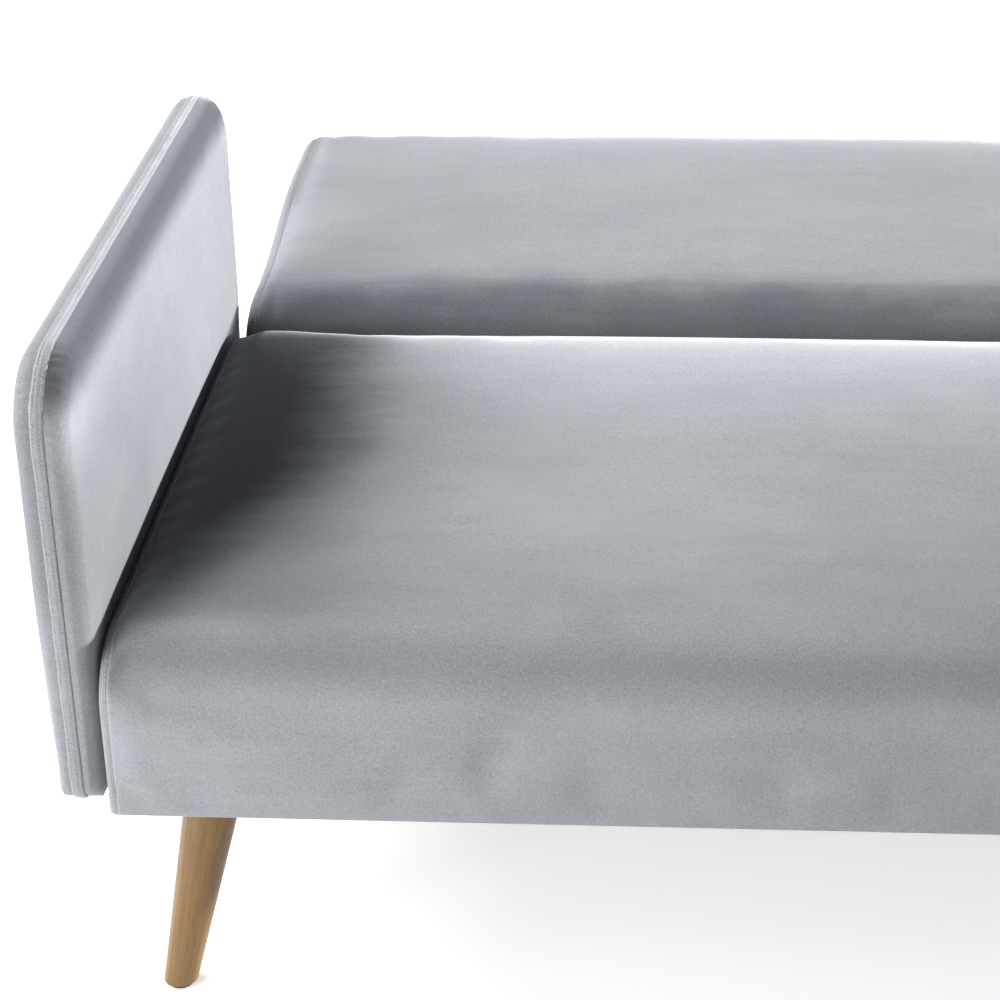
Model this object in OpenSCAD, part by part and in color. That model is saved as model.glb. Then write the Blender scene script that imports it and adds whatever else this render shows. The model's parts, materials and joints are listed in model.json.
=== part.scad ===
// Three seater sofa bed whose back folds flat level with the seat, drawn folded flat.
// The seat block stands on four splayed wooden legs and carries two fixed upholstered arm panels.
// The back turns on a ratchet hinge at each end and rests on a swinging tube stand behind.
// X runs across the bed, Y from front to back, Z up. The origin is on the floor, under the middle.

/* [Bed] */
// Width of the seat between the two arms
seat_w = 1780; // [1400:10:2100]
// Depth of the seat from front to joint
seat_depth = 588; // [500:5:680]
// Depth of the back as it lies flat
back_depth = 528; // [460:5:640]
// Gap between the seat and the flat back
joint_gap = 6; // [3:1:15]
// Thickness of the seat, frame and cushion together
seat_t = 154; // [145:1:200]
// Thickness of the back, frame and cushion together
back_t = 150; // [140:1:190]
// Height of the seat's underside above the floor
leg_h = 190; // [140:5:240]
// Gap between each side of the back and the plane of the arm's inner face
back_side_gap = 2.5; // [1:0.5:6]

/* [Cushion shape] */
// Radius of the seat's front top edge
seat_front_r = 52; // [30:1:70]
// Radius of the seat's rear top edge
seat_rear_r = 20; // [12:1:40]
// Radius of the back's nose, centred on the hinge
nose_r = 62; // [50:1:76]
// Radius of the back's far top edge
back_far_r = 26; // [15:1:50]
// Rounding of the cushions' top edges at both ends
end_edge_r = 10; // [5:1:18]
// Corner radius of the seat's front, seen from above
seat_front_corner_r = 8; // [4:1:20]
// Corner radius of the seat's rear, seen from above
seat_rear_corner_r = 28; // [10:1:40]
// Corner radius of the back's front, seen from above
back_front_corner_r = 14; // [6:1:30]
// Corner radius of the back's far side, seen from above
back_far_corner_r = 16; // [10:1:40]
// Rise of the seat's crown above its edges
seat_crown = 14; // [4:1:20]
// Rise of the back's crown above its edges
back_crown = 6; // [3:1:16]
// Thickness of the velvet cover with its lining
cover_t = 2; // [1.5:0.5:3]
// Foam on the outer faces of the rails
pad_t = 10; // [6:1:16]
// Width of the cover that is stapled under the frame
tuck_w = 26; // [18:1:40]
// Small rounding where the cover turns under the frame
tuck_r = 6; // [3:1:9]

/* [Arms] */
// Thickness of an arm, upholstery included
arm_t = 43; // [40:1:70]
// How far the arm's front stands behind the seat's front
arm_setback = 4; // [0:1:20]
// How far the arm reaches behind the joint
arm_past_joint = 48; // [5:1:60]
// Height of the arm's lower edge above the seat's underside
arm_drop = 7; // [0:1:40]
// Height of the arm's top above the seat's top
arm_rise = 211; // [150:5:300]
// Radius of the arm's two top corners
arm_top_r = 56; // [30:1:90]
// Radius of the arm's two bottom corners
arm_bottom_r = 18; // [17:1:30]
// Rounding of the arm's edges across its thickness
arm_edge_r = 15; // [8:1:16]
// Width of the topstitched strip along the arm's edge
strip_w = 7; // [4:1:12]
// How far that strip stands proud
strip_rise = 1; // [0.5:0.5:2]

/* [Wooden frames] */
// Thickness of every rail
rail_t = 25; // [18:1:30]
// Height of the seat frame's rails
seat_rail_h = 60; // [50:1:70]
// Height of the back frame's rails
back_rail_h = 46; // [40:1:56]
// Number of slats under each cushion
slat_count = 13; // [9:2:21]
// Width of a slat
slat_w = 60; // [40:5:80]
// Thickness of a slat
slat_t = 10; // [8:1:14]
// Thickness of the felt over the slats
felt_t = 2; // [1:0.5:4]
// Thickness of the dust cloth under each frame
cloth_t = 1; // [0.5:0.5:1.5]
// Distance from the middle to the seat's cross rails
seat_cross_x = 300; // [200:10:420]
// Side of the corner blocks that take the legs
block_w = 78; // [70:1:100]

/* [Legs] */
// Diameter of a leg at its top
leg_top_d = 48; // [38:1:58]
// Diameter of a leg at its foot
leg_foot_d = 26; // [20:1:34]
// Lean of a leg out of upright
leg_splay = 16; // [6:1:18]
// Distance from the seat's end to the middle of a leg's top
leg_in_x = 69; // [68:1:130]
// Distance from the seat's front or rear to the middle of a leg's top
leg_in_y = 84; // [74:1:120]
// Side of the square steel plate on a leg's top
leg_plate_w = 60; // [52:1:70]
// Thickness of that plate
leg_plate_t = 3; // [2:0.5:5]
// Diameter of the glide under a foot
glide_d = 20; // [14:1:24]
// Height of that glide
glide_h = 4; // [2:0.5:8]

/* [Ratchet hinge] */
// Thickness of the hinge plates
plate_t = 4; // [3:0.5:6]
// Thickness of the ratchet wheel
ratchet_t = 4; // [3:0.5:6]
// Running play between the hinge's moving faces
play = 0.3; // [0.2:0.1:0.5]
// Diameter of the hinge pin
pin_d = 12; // [8:1:16]
// Radius of the hinge plates round the pin
hub_r = 18; // [14:1:20]
// Outer radius of the ratchet wheel
ratchet_r = 36; // [28:1:40]
// Depth of a ratchet notch
notch_depth = 6; // [3:1:9]
// Rise of the back from flat at its last notch
recline_max = 78; // [60:1:85]
// Turn between one notch and the next
click_step = 19; // [12:1:25]
// Height of the hinge plates' bars
bar_h = 26; // [20:1:30]
// Length of bar that is bolted to a rail
bar_len = 150; // [110:5:180]
// Distance from the hinge to the pawl's own pin
pawl_reach = 58; // [52:1:70]
// Diameter of the pawl's pin
pawl_pin_d = 7; // [5:1:9]

/* [Stand] */
// Diameter of the stand's axle tube
axle_d = 22; // [18:1:28]
// Diameter of the stand's leg tubes
stand_leg_d = 20; // [14:1:21]
// Wall of the stand's tubes
tube_wall = 1.5; // [1:0.5:2.5]
// Distance from the middle to a stand leg
stand_leg_x = 600; // [350:10:680]
// Distance from the middle to a stand bearing
stand_bearing_x = 552; // [300:4:632]
// Distance from the back's far side to the stand
stand_in_y = 120; // [80:5:180]
// Height of the rubber foot caps
foot_cap_h = 26; // [15:1:40]

/* [Hidden] */

$fn = 64;
// Overrun of every cut past the face that it leaves through
over = 1;
// Room between a soft piece and what it covers
soft_gap = 0.3;
// Room round a bolt in its hole
bolt_room = 0.25;
// Room round a turning pin in its bearing
run_room = 0.05;
// Room in the upholstery round the hinge plates and the bolt holes
cut_room = 3;
// Room past the end of a bolt or screw in its hole
end_gap = 1;

// Main places
half_w = seat_w / 2;
back_half = half_w - back_side_gap;
bed_depth = seat_depth + joint_gap + back_depth;
front_y = -bed_depth / 2;
seat_rear_y = front_y + seat_depth;
back_front_y = seat_rear_y + joint_gap;
back_far_y = back_front_y + back_depth;
seat_bottom = leg_h;
seat_top = leg_h + seat_t;
back_bottom = seat_top - back_t;
hinge_y = back_front_y + nose_r;
hinge_z = seat_top - nose_r;
skin = cover_t + soft_gap + pad_t;

// Places across the bed at one end, from the middle outwards
seat_rail_x = half_w - cover_t - pad_t;
ratchet_x = seat_rail_x - ratchet_t;
back_plate_x = ratchet_x - play - plate_t;
back_rail_x = back_plate_x;

// Heights in the two frames
seat_frame_z = seat_bottom + cover_t;
seat_frame_top = seat_frame_z + seat_rail_h;
seat_foam_z = seat_frame_top + slat_t + felt_t;
back_frame_z = back_bottom + cover_t;
back_frame_top = back_frame_z + back_rail_h;
back_foam_z = back_frame_top + slat_t + felt_t;

// Steps of the lofted shapes
arc_steps = 6;
far_steps = 4;
top_steps = 6;
edge_shares = [0, 0.5, 1];
corner_shares = [0.5, 1];
span_shares = [0.1, 0.3, 0.62, 1];
// Share of a corner's radius over which its sections are set close together
corner_run_share = 1.2;
// Least distance between two neighbouring sections
station_gap = 0.5;
// Tangent of an eighth of a turn, which keeps a bevel parallel when it is inset
bevel_share = sqrt(2) - 1;

velvet = "#b3b8bf";
foam_colour = "#e8dfb0";
wood_colour = "#c9a26b";
leg_colour = "#a5783c";
steel_colour = "#70757b";
felt_colour = "#5b5b5b";
cloth_colour = "#26282b";
tube_colour = "#1e1f22";
rubber_colour = "#151515";

function mix(a, b, share) = a + (b - a) * share;
// Depth that a round corner of radius r takes off at distance d from its end
function corner_loss(r, d) = d >= r ? 0 : r - sqrt(r * r - (r - d) * (r - d));

// Stations from one end of a cushion to the other, closer together where the ends are round
// and including the places in also
function half_stations(half, edge, corner, also) = let (run = corner_run_share * corner) concat(
    [half], also,
    [for (s = edge_shares) half - edge * s],
    [for (s = corner_shares) half - edge - (run - edge) * s],
    [for (s = span_shares) (half - run) * (1 - s)]);
// Values in rising order, of which those too close to an earlier one are left out
function sorted(values) = len(values) < 2 ? values : concat(
    sorted([for (v = values) if (v < values[0] - station_gap) v]), [values[0]],
    sorted([for (v = values) if (v > values[0] + station_gap) v]));
function stations(half, edge, corner, also) = let (one = half_stations(half, edge, corner, also))
    sorted([for (x = one, way = [-1, 1]) way * x]);
function within(xs, limit) = [for (x = xs) if (abs(x) < limit + station_gap) x];

// Outline of an upholstered block across its depth, inset by k, from the front of its underside
// over the top to the rear of its underside
function block_outline(y0, y1, z0, z1, r0, r1, k) = concat(
    [[y0 + tuck_w, z0 + k],
     [y0 + tuck_r + k * bevel_share, z0 + k],
     [y0 + k, z0 + tuck_r + k * bevel_share],
     [y0 + k, mix(z0 + tuck_r, z1 - r0, 0.5)]],
    [for (i = [0:arc_steps]) let (a = 180 - 90 * i / arc_steps)
        [y0 + r0 + (r0 - k) * cos(a), z1 - r0 + (r0 - k) * sin(a)]],
    [for (i = [1:top_steps - 1]) [mix(y0 + r0, y1 - r1, i / top_steps), z1 - k]],
    [for (i = [0:far_steps]) let (a = 90 - 90 * i / far_steps)
        [y1 - r1 + (r1 - k) * cos(a), z1 - r1 + (r1 - k) * sin(a)]],
    [[y1 - k, mix(z0 + tuck_r, z1 - r1, 0.5)],
     [y1 - k, z0 + tuck_r + k * bevel_share],
     [y1 - tuck_r - k * bevel_share, z0 + k],
     [y1 - tuck_w, z0 + k]]);

// Lowers a point of the top towards the block's edges, so that the middle stands crowned
function crowned(x, p, half, y0, y1, z0, z1, crown) =
    let (across = 1 - pow(abs(x) / half, 8),
         along = 1 - pow(abs(2 * p[0] - y0 - y1) / (y1 - y0), 4),
         height = (p[1] - z0) / (z1 - z0))
    [x, p[0], p[1] - crown * (1 - across * along) * height];

// One cross section of the seat block and of the back block at x, inset by k
function seat_section(x, k) = let (d = half_w - abs(x),
    y0 = front_y + corner_loss(seat_front_corner_r, d),
    y1 = seat_rear_y - corner_loss(seat_rear_corner_r, d),
    z1 = seat_top - corner_loss(end_edge_r, d))
    [for (p = block_outline(y0, y1, seat_bottom, z1, seat_front_r, seat_rear_r, k))
        crowned(x, p, half_w, front_y, seat_rear_y, seat_bottom, seat_top, seat_crown)];
function back_section(x, k) = let (d = back_half - abs(x),
    y0 = back_front_y + corner_loss(back_front_corner_r, d),
    y1 = back_far_y - corner_loss(back_far_corner_r, d),
    z1 = seat_top - corner_loss(end_edge_r, d))
    [for (p = block_outline(y0, y1, back_bottom, z1, nose_r, back_far_r, k))
        crowned(x, p, back_half, back_front_y, back_far_y, back_bottom, seat_top, back_crown)];

// The upper part of a section, closed along the level z0
function above(section, z0) = let (n = len(section))
    concat([[section[3][0], section[3][1], z0]], [for (i = [4:n - 5]) section[i]],
           [[section[n - 4][0], section[n - 4][1], z0]]);
// A section's points as a flat outline in Y and Z
function flat_outline(section) = [for (p = section) [p[1], p[2]]];

// Two triangles for the four corners of a patch
function patch(a, b, c, d) = [[a, b, c], [a, c, d]];
function flatten(lists) = [for (l = lists) for (v = l) v];

// Shell between two rows of sections, outer and inner, open along its underside
module ladder_shell(outer, inner) {
    m = len(outer);
    n = len(outer[0]);
    shift = m * n;
    function o(j, i) = j * n + i;
    function q(j, i) = shift + j * n + i;
    faces = concat(
        flatten([for (j = [0:m - 2]) for (i = [0:n - 2])
            concat(patch(o(j, i), o(j, i + 1), o(j + 1, i + 1), o(j + 1, i)),
                   patch(q(j, i), q(j + 1, i), q(j + 1, i + 1), q(j, i + 1)))]),
        flatten([for (j = [0:m - 2])
            concat(patch(o(j, 0), o(j + 1, 0), q(j + 1, 0), q(j, 0)),
                   patch(o(j + 1, n - 1), o(j, n - 1), q(j, n - 1), q(j + 1, n - 1)))]),
        flatten([for (i = [0:n - 2])
            concat(patch(o(0, i + 1), o(0, i), q(0, i), q(0, i + 1)),
                   patch(o(m - 1, i), o(m - 1, i + 1), q(m - 1, i + 1), q(m - 1, i)))]));
    polyhedron(points = concat(flatten(outer), flatten(inner)), faces = faces, convexity = 6);
}

// Solid through a row of closed rings, capped at both ends
module ring_solid(rings) {
    m = len(rings);
    n = len(rings[0]);
    function r(j, i) = j * n + i % n;
    faces = concat(
        flatten([for (j = [0:m - 2]) for (i = [0:n - 1])
            patch(r(j, i), r(j, i + 1), r(j + 1, i + 1), r(j + 1, i))]),
        [for (i = [1:n - 2]) [r(0, 0), r(0, i + 1), r(0, i)]],
        [for (i = [1:n - 2]) [r(m - 1, 0), r(m - 1, i), r(m - 1, i + 1)]]);
    polyhedron(points = flatten(rings), faces = faces, convexity = 6);
}

// Plate cut to an outline in Y and Z, standing at x
module side_plate(x, t) {
    translate([x, 0, 0]) rotate([90, 0, 90]) linear_extrude(t) children();
}
// Round bar along X
module bar_x(d, x, length, y, z) {
    translate([x, y, z]) rotate([0, 90, 0]) cylinder(d = d, h = length);
}
// The same piece at both ends of the bed
module both_ends() {
    children();
    mirror([1, 0, 0]) children();
}
// Box given by its two corners
module box(low, high) {
    translate(low) cube(high - low);
}
// Rectangle in Y and Z
module pane(y0, y1, z0, z1) {
    translate([y0, z0]) square([y1 - y0, z1 - z0]);
}

// Seat frame
// Heights and places of the fasteners in the seat's end rails
arm_bolt_d = 8;
arm_bolt_down = 16;
arm_bolt_z = seat_frame_top - arm_bolt_down;
arm_bolt_shares = [0.26, 0.46, 0.68];
// Share of the arm board's thickness that a bolt reaches into
arm_bolt_share = 0.8;
arm_bolt_bite = arm_bolt_share * (arm_t - 2 * skin);
arm_bolt_head_d = 14;
arm_bolt_head_h = 5;
arm_washer_d = 22;
arm_washer_t = 2;
arm_bolt_ys = [for (s = arm_bolt_shares) mix(front_y, seat_rear_y, s)];
seat_rail_in_x = seat_rail_x - rail_t;
seat_rail_front_y = front_y + skin;
seat_rail_rear_y = seat_rear_y - skin;
bar_up = 3;
bar_low = seat_frame_z + bar_up;
hinge_bolt_d = 6;
hinge_bolt_head_d = 12;
hinge_bolt_head_h = 3;
hinge_bolt_len = 22;
hinge_bolt_shares = [0.16, 0.5, 0.84];
seat_bar_y = seat_rear_y - bar_len;
seat_hinge_bolt_ys = [for (s = hinge_bolt_shares) mix(seat_bar_y, seat_rail_rear_y - rail_t, s)];
seat_hinge_bolt_z = bar_low + bar_h / 2;

module seat_front_rail() color(wood_colour)
    box([-seat_rail_x, seat_rail_front_y, seat_frame_z],
        [seat_rail_x, seat_rail_front_y + rail_t, seat_frame_top]);

module seat_rear_rail() color(wood_colour)
    box([-seat_rail_x, seat_rail_rear_y - rail_t, seat_frame_z],
        [seat_rail_x, seat_rail_rear_y, seat_frame_top]);

module seat_end_rail() difference() {
    box([seat_rail_in_x, seat_rail_front_y + rail_t, seat_frame_z],
        [seat_rail_x, seat_rail_rear_y - rail_t, seat_frame_top]);
    for (y = arm_bolt_ys)
        bar_x(arm_bolt_d + 2 * bolt_room, seat_rail_in_x - over, rail_t + 2 * over, y, arm_bolt_z);
    for (y = seat_hinge_bolt_ys)
        bar_x(hinge_bolt_d, seat_rail_x - hinge_bolt_len, hinge_bolt_len + over, y,
              seat_hinge_bolt_z);
}
module seat_left_rail() color(wood_colour) mirror([1, 0, 0]) seat_end_rail();
module seat_right_rail() color(wood_colour) seat_end_rail();

module seat_cross_rails() color(wood_colour) for (x = [-seat_cross_x, seat_cross_x])
    box([x - rail_t / 2, seat_rail_front_y + rail_t, seat_frame_z],
        [x + rail_t / 2, seat_rail_rear_y - rail_t, seat_frame_top]);

// Leg places: one corner, then mirrored to the other three
leg_x = half_w - leg_in_x;
leg_front_y = front_y + leg_in_y;
leg_rear_y = seat_rear_y - leg_in_y;
leg_top_z = seat_bottom + cover_t - leg_plate_t;
block_h = 40;
leg_bolt_d = 8;
leg_bolt_up = 34;
leg_bolt_down = 36;
plate_screw_d = 4;
plate_screw_len = 20;
plate_screw_head_d = 8;
plate_screw_head_h = 2;
plate_screw_share = 0.38;

// Draws a leg's own pieces at one corner, leaning outwards, or at all four
module at_corner(sx, sy) translate([sx * leg_x, sy < 0 ? leg_front_y : leg_rear_y, 0])
    mirror([sx < 0 ? 1 : 0, 0, 0]) mirror([0, sy < 0 ? 1 : 0, 0]) children();
module at_legs() for (sx = [-1, 1], sy = [-1, 1]) at_corner(sx, sy) children();

module plate_screw_places() for (sx = [-1, 1], sy = [-1, 1])
    translate([sx * plate_screw_share * leg_plate_w, sy * plate_screw_share * leg_plate_w, 0])
        children();

module seat_corner_blocks() color(wood_colour) for (sx = [-1, 1], sy = [-1, 1]) {
    low_x = seat_rail_in_x - block_w;
    low_y = sy < 0 ? seat_rail_front_y + rail_t : seat_rail_rear_y - rail_t - block_w;
    mirror([sx < 0 ? 1 : 0, 0, 0]) difference() {
        box([low_x, low_y, seat_frame_z],
            [seat_rail_in_x, low_y + block_w, seat_frame_z + block_h]);
        translate([leg_x, sy < 0 ? leg_front_y : leg_rear_y, seat_frame_z - over]) {
            cylinder(d = leg_bolt_d + 2 * bolt_room, h = leg_bolt_up + over);
            plate_screw_places() cylinder(d = plate_screw_d, h = plate_screw_len + over);
        }
    }
}

slat_first_x = seat_rail_in_x - slat_w / 2;
slat_pitch = 2 * slat_first_x / (slat_count - 1);
module slats(y0, y1, z) color(wood_colour) for (i = [0:slat_count - 1]) {
    x = -slat_first_x + i * slat_pitch;
    box([x - slat_w / 2, y0, z], [x + slat_w / 2, y1, z + slat_t]);
}
module seat_slats() slats(seat_rail_front_y, seat_rail_rear_y, seat_frame_top);

module seat_felt() color(felt_colour)
    box([-seat_rail_in_x, seat_rail_front_y, seat_frame_top + slat_t],
        [seat_rail_in_x, seat_rail_rear_y, seat_foam_z]);

// Seat cushion and its covers
corner_r = max(seat_rear_corner_r, seat_front_corner_r);
panel_in_x = half_w - cover_t;
pad_end_x = panel_in_x - soft_gap;
seat_xs = stations(half_w, end_edge_r, corner_r, [pad_end_x, seat_rail_x]);
// Inset of whatever lies right under a cover
under_cover = cover_t + soft_gap;

module seat_foam() color(foam_colour) ring_solid([for (x = within(seat_xs, seat_rail_x))
    above(seat_section(x, under_cover), seat_foam_z)]);

module seat_edge_pads() color(foam_colour) {
    low_z = seat_frame_z + tuck_r;
    run_x = half_w - corner_run_share * corner_r;
    box([-run_x, front_y + under_cover, low_z], [run_x, seat_rail_front_y, seat_foam_z]);
    box([-run_x, seat_rail_rear_y, low_z], [run_x, seat_rear_y - under_cover, seat_foam_z]);
    both_ends() difference() {
        side_plate(seat_rail_x, pad_end_x - seat_rail_x) difference() {
            polygon(flat_outline(seat_section(pad_end_x, under_cover)));
            pane(seat_bar_y - cut_room, seat_rear_y + over, seat_bottom - over,
                   bar_low + bar_h + cut_room);
        }
        for (y = arm_bolt_ys)
            bar_x(arm_bolt_d + cut_room, seat_rail_x - over, pad_t + 2 * over, y, arm_bolt_z);
    }
}

module seat_cover() color(velvet) difference() {
    ladder_shell([for (x = seat_xs) seat_section(x, 0)],
                 [for (x = seat_xs) seat_section(x, cover_t)]);
    both_ends() box([ratchet_x - cut_room, seat_rear_y - seat_rear_corner_r - tuck_w - cut_room,
                     seat_bottom - over],
                    [half_w + over, seat_rear_y + over, bar_low + bar_h + cut_room]);
}

module seat_side_panels() color(velvet) both_ends() difference() {
    side_plate(panel_in_x, cover_t)
        polygon(flat_outline(seat_section(half_w, under_cover)));
    for (y = arm_bolt_ys)
        bar_x(arm_bolt_d + cut_room, panel_in_x - over, cover_t + 2 * over, y, arm_bolt_z);
}

module seat_dust_cloth() color(cloth_colour) difference() {
    box([-seat_rail_x, front_y + tuck_w + over, seat_frame_z - cloth_t],
        [seat_rail_x, seat_rear_y - tuck_w - over, seat_frame_z]);
    at_legs() box([-leg_plate_w / 2 - over, -leg_plate_w / 2 - over, seat_bottom],
                  [leg_plate_w / 2 + over, leg_plate_w / 2 + over, seat_frame_z + over]);
}

// Legs, each leaning outwards along the diagonal of its corner
leg_len = leg_top_z / cos(leg_splay);
foot_shift = (leg_top_z - glide_h) * tan(leg_splay) * sin(45);
module leaning() rotate([0, 0, 45]) rotate([0, -leg_splay, 0]) rotate([180, 0, 0]) children();
module leg() color(leg_colour) difference() {
    translate([0, 0, leg_top_z]) leaning() translate([0, 0, -leg_top_d])
        cylinder(d1 = mix(leg_top_d, leg_foot_d, -leg_top_d / leg_len),
                 d2 = mix(leg_top_d, leg_foot_d, 1 + leg_top_d / leg_len),
                 h = leg_len + 2 * leg_top_d);
    box([-leg_len, -leg_len, leg_top_z], [leg_len, leg_len, leg_top_z + 2 * leg_top_d]);
    box([-leg_len, -leg_len, -2 * leg_top_d], [leg_len, leg_len, glide_h]);
    translate([0, 0, leg_top_z - leg_bolt_down])
        cylinder(d = leg_bolt_d + 2 * bolt_room, h = leg_bolt_down + over);
}
module leg_front_left() at_corner(-1, -1) leg();
module leg_front_right() at_corner(1, -1) leg();
module leg_rear_left() at_corner(-1, 1) leg();
module leg_rear_right() at_corner(1, 1) leg();

module leg_plates() color(steel_colour) at_legs() difference() {
    translate([-leg_plate_w / 2, -leg_plate_w / 2, leg_top_z])
        cube([leg_plate_w, leg_plate_w, leg_plate_t]);
    translate([0, 0, leg_top_z - over])
        cylinder(d = leg_bolt_d + 2 * bolt_room, h = leg_plate_t + 2 * over);
    translate([0, 0, leg_top_z - over]) plate_screw_places()
        cylinder(d = plate_screw_d + 2 * bolt_room, h = leg_plate_t + 2 * over);
}

module leg_bolts() color(steel_colour) at_legs()
    translate([0, 0, leg_top_z - leg_bolt_down + end_gap])
        cylinder(d = leg_bolt_d, h = leg_bolt_down + leg_plate_t + leg_bolt_up - 2 * end_gap);

module leg_plate_screws() color(steel_colour) at_legs() translate([0, 0, leg_top_z])
    plate_screw_places() {
        translate([0, 0, -plate_screw_head_h])
            cylinder(d = plate_screw_head_d, h = plate_screw_head_h);
        cylinder(d = plate_screw_d - 2 * run_room, h = leg_plate_t + plate_screw_len - end_gap);
    }

module leg_glides() color(rubber_colour) at_legs()
    translate([foot_shift, foot_shift, 0]) cylinder(d = glide_d, h = glide_h);

// Arms, drawn at the right end and mirrored to the left
arm_x0 = half_w;
arm_x1 = half_w + arm_t;
arm_mid_x = half_w + arm_t / 2;
arm_y0 = front_y + arm_setback;
arm_y1 = seat_rear_y + arm_past_joint;
arm_z0 = seat_bottom + arm_drop;
arm_z1 = seat_top + arm_rise;
arm_top_steps = 8;
arm_bottom_steps = 3;
arm_edge_steps = 3;
least_r = 0.5;

// Arm outline in Y and Z, inset by k
function arm_outline(k) = let (
    rt = max(arm_top_r - k, least_r), rb = max(arm_bottom_r - k, least_r),
    y0 = arm_y0 + k, y1 = arm_y1 - k, z0 = arm_z0 + k, z1 = arm_z1 - k) concat(
    [for (i = [0:arm_bottom_steps]) let (a = 270 - 90 * i / arm_bottom_steps)
        [y0 + rb + rb * cos(a), z0 + rb + rb * sin(a)]],
    [for (i = [0:arm_top_steps]) let (a = 180 - 90 * i / arm_top_steps)
        [y0 + rt + rt * cos(a), z1 - rt + rt * sin(a)]],
    [for (i = [0:arm_top_steps]) let (a = 90 - 90 * i / arm_top_steps)
        [y1 - rt + rt * cos(a), z1 - rt + rt * sin(a)]],
    [for (i = [0:arm_bottom_steps]) let (a = -90 * i / arm_bottom_steps)
        [y1 - rb + rb * cos(a), z0 + rb + rb * sin(a)]]);
function arm_ring(x, k) = [for (p = arm_outline(k)) [x, p[0], p[1]]];
// Rings round a rounded edge, from its side to its flat face, on a slab inset by k
function edge_rings(face_x, way, k) = let (r = arm_edge_r - k)
    [for (i = [0:arm_edge_steps]) let (a = 90 - 90 * i / arm_edge_steps)
        arm_ring(face_x - way * (k + r - r * cos(a)), k + r - r * sin(a))];
function reversed(list) = [for (i = [len(list) - 1:-1:0]) list[i]];

module arm_board() color(wood_colour) difference() {
    side_plate(arm_x0 + skin, arm_t - 2 * skin) polygon(arm_outline(skin));
    for (y = arm_bolt_ys)
        bar_x(arm_bolt_d + 2 * bolt_room, arm_x0 + skin - over, arm_bolt_bite + over + end_gap, y,
              arm_bolt_z);
}
module arm_foam() color(foam_colour) difference() {
    ring_solid(concat(reversed(edge_rings(arm_x0, -1, under_cover)),
                      edge_rings(arm_x1, 1, under_cover)));
    side_plate(arm_x0 + skin, arm_t - 2 * skin) polygon(arm_outline(skin));
    for (y = arm_bolt_ys)
        bar_x(arm_bolt_d + cut_room, arm_x0 - over, skin + 2 * over, y, arm_bolt_z);
}
module arm_outer_cover() color(velvet)
    ring_solid(concat(reversed(edge_rings(arm_x1, 1, cover_t)),
                      [arm_ring(arm_mid_x, cover_t), arm_ring(arm_mid_x, 0)],
                      edge_rings(arm_x1, 1, 0)));
module arm_inner_cover() color(velvet) difference() {
    translate([2 * arm_mid_x, 0, 0]) mirror([1, 0, 0]) arm_outer_cover();
    for (y = arm_bolt_ys)
        bar_x(arm_bolt_d + cut_room, arm_x0 - over, cover_t + 2 * over, y, arm_bolt_z);
}
module arm_edge_strips() color(velvet) both_ends()
    side_plate(arm_mid_x - strip_w / 2, strip_w) difference() {
        polygon(arm_outline(-strip_rise));
        polygon(arm_outline(0));
    }
module arm_board_left() mirror([1, 0, 0]) arm_board();
module arm_board_right() arm_board();
module arm_foam_left() mirror([1, 0, 0]) arm_foam();
module arm_foam_right() arm_foam();
module arm_inner_cover_left() mirror([1, 0, 0]) arm_inner_cover();
module arm_inner_cover_right() arm_inner_cover();
module arm_outer_cover_left() mirror([1, 0, 0]) arm_outer_cover();
module arm_outer_cover_right() arm_outer_cover();

module arm_bolts() color(steel_colour) both_ends() for (y = arm_bolt_ys) {
    head_x = seat_rail_in_x - arm_washer_t - arm_bolt_head_h;
    bar_x(arm_bolt_head_d, head_x, arm_bolt_head_h, y, arm_bolt_z);
    bar_x(arm_bolt_d, head_x, arm_x0 + skin + arm_bolt_bite - head_x, y, arm_bolt_z);
}
module arm_washers() color(steel_colour) both_ends() for (y = arm_bolt_ys) difference() {
    bar_x(arm_washer_d, seat_rail_in_x - arm_washer_t, arm_washer_t, y, arm_bolt_z);
    bar_x(arm_bolt_d + 2 * bolt_room, seat_rail_in_x - arm_washer_t - over,
          arm_washer_t + 2 * over, y, arm_bolt_z);
}

// Ratchet hinge, drawn at the right end and mirrored to the left
pin_head_d = 20;
pin_head_h = 3;
pin_rim_d = 18;
pin_rim_t = 1.6;
notch_open = 16;
notch_count = 3;
click_angles = [for (i = [0:notch_count - 1]) recline_max - i * click_step];
// Share of the hub that is the half width of the plate's upright
upright_share = 0.75;
// Direction from the hinge to the pawl's pin and to its tip, with the back flat
pawl_pin_a = 4;
pawl_tip_a = 34;
pawl_tip_gap = 0.4;
pawl_boss_r = 8;
pawl_pin = [hinge_y + pawl_reach * cos(pawl_pin_a), hinge_z + pawl_reach * sin(pawl_pin_a)];
pawl_tip_r = ratchet_r + pawl_tip_gap;
pawl_tip = [hinge_y + pawl_tip_r * cos(pawl_tip_a), hinge_z + pawl_tip_r * sin(pawl_tip_a)];
// Rivet end of the pawl's pin, and the leaf spring that presses the pawl to the wheel
rivet_step = 2;
spring_t = 1.2;
spring_gap = 0.2;
spring_touch_share = 0.3;
spring_foot_r = 5;
spring_reach = 26;
spring_foot = pawl_pin + [spring_reach, spring_foot_r];
spring_pin_d = 5;

// Notch in a disc's rim, opening towards direction a, with one steep flank
module rim_notch(a) rotate(a)
    polygon([[ratchet_r - notch_depth, 0], [ratchet_r + over, 0],
             [(ratchet_r + over) * cos(notch_open), (ratchet_r + over) * sin(notch_open)]]);

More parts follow.
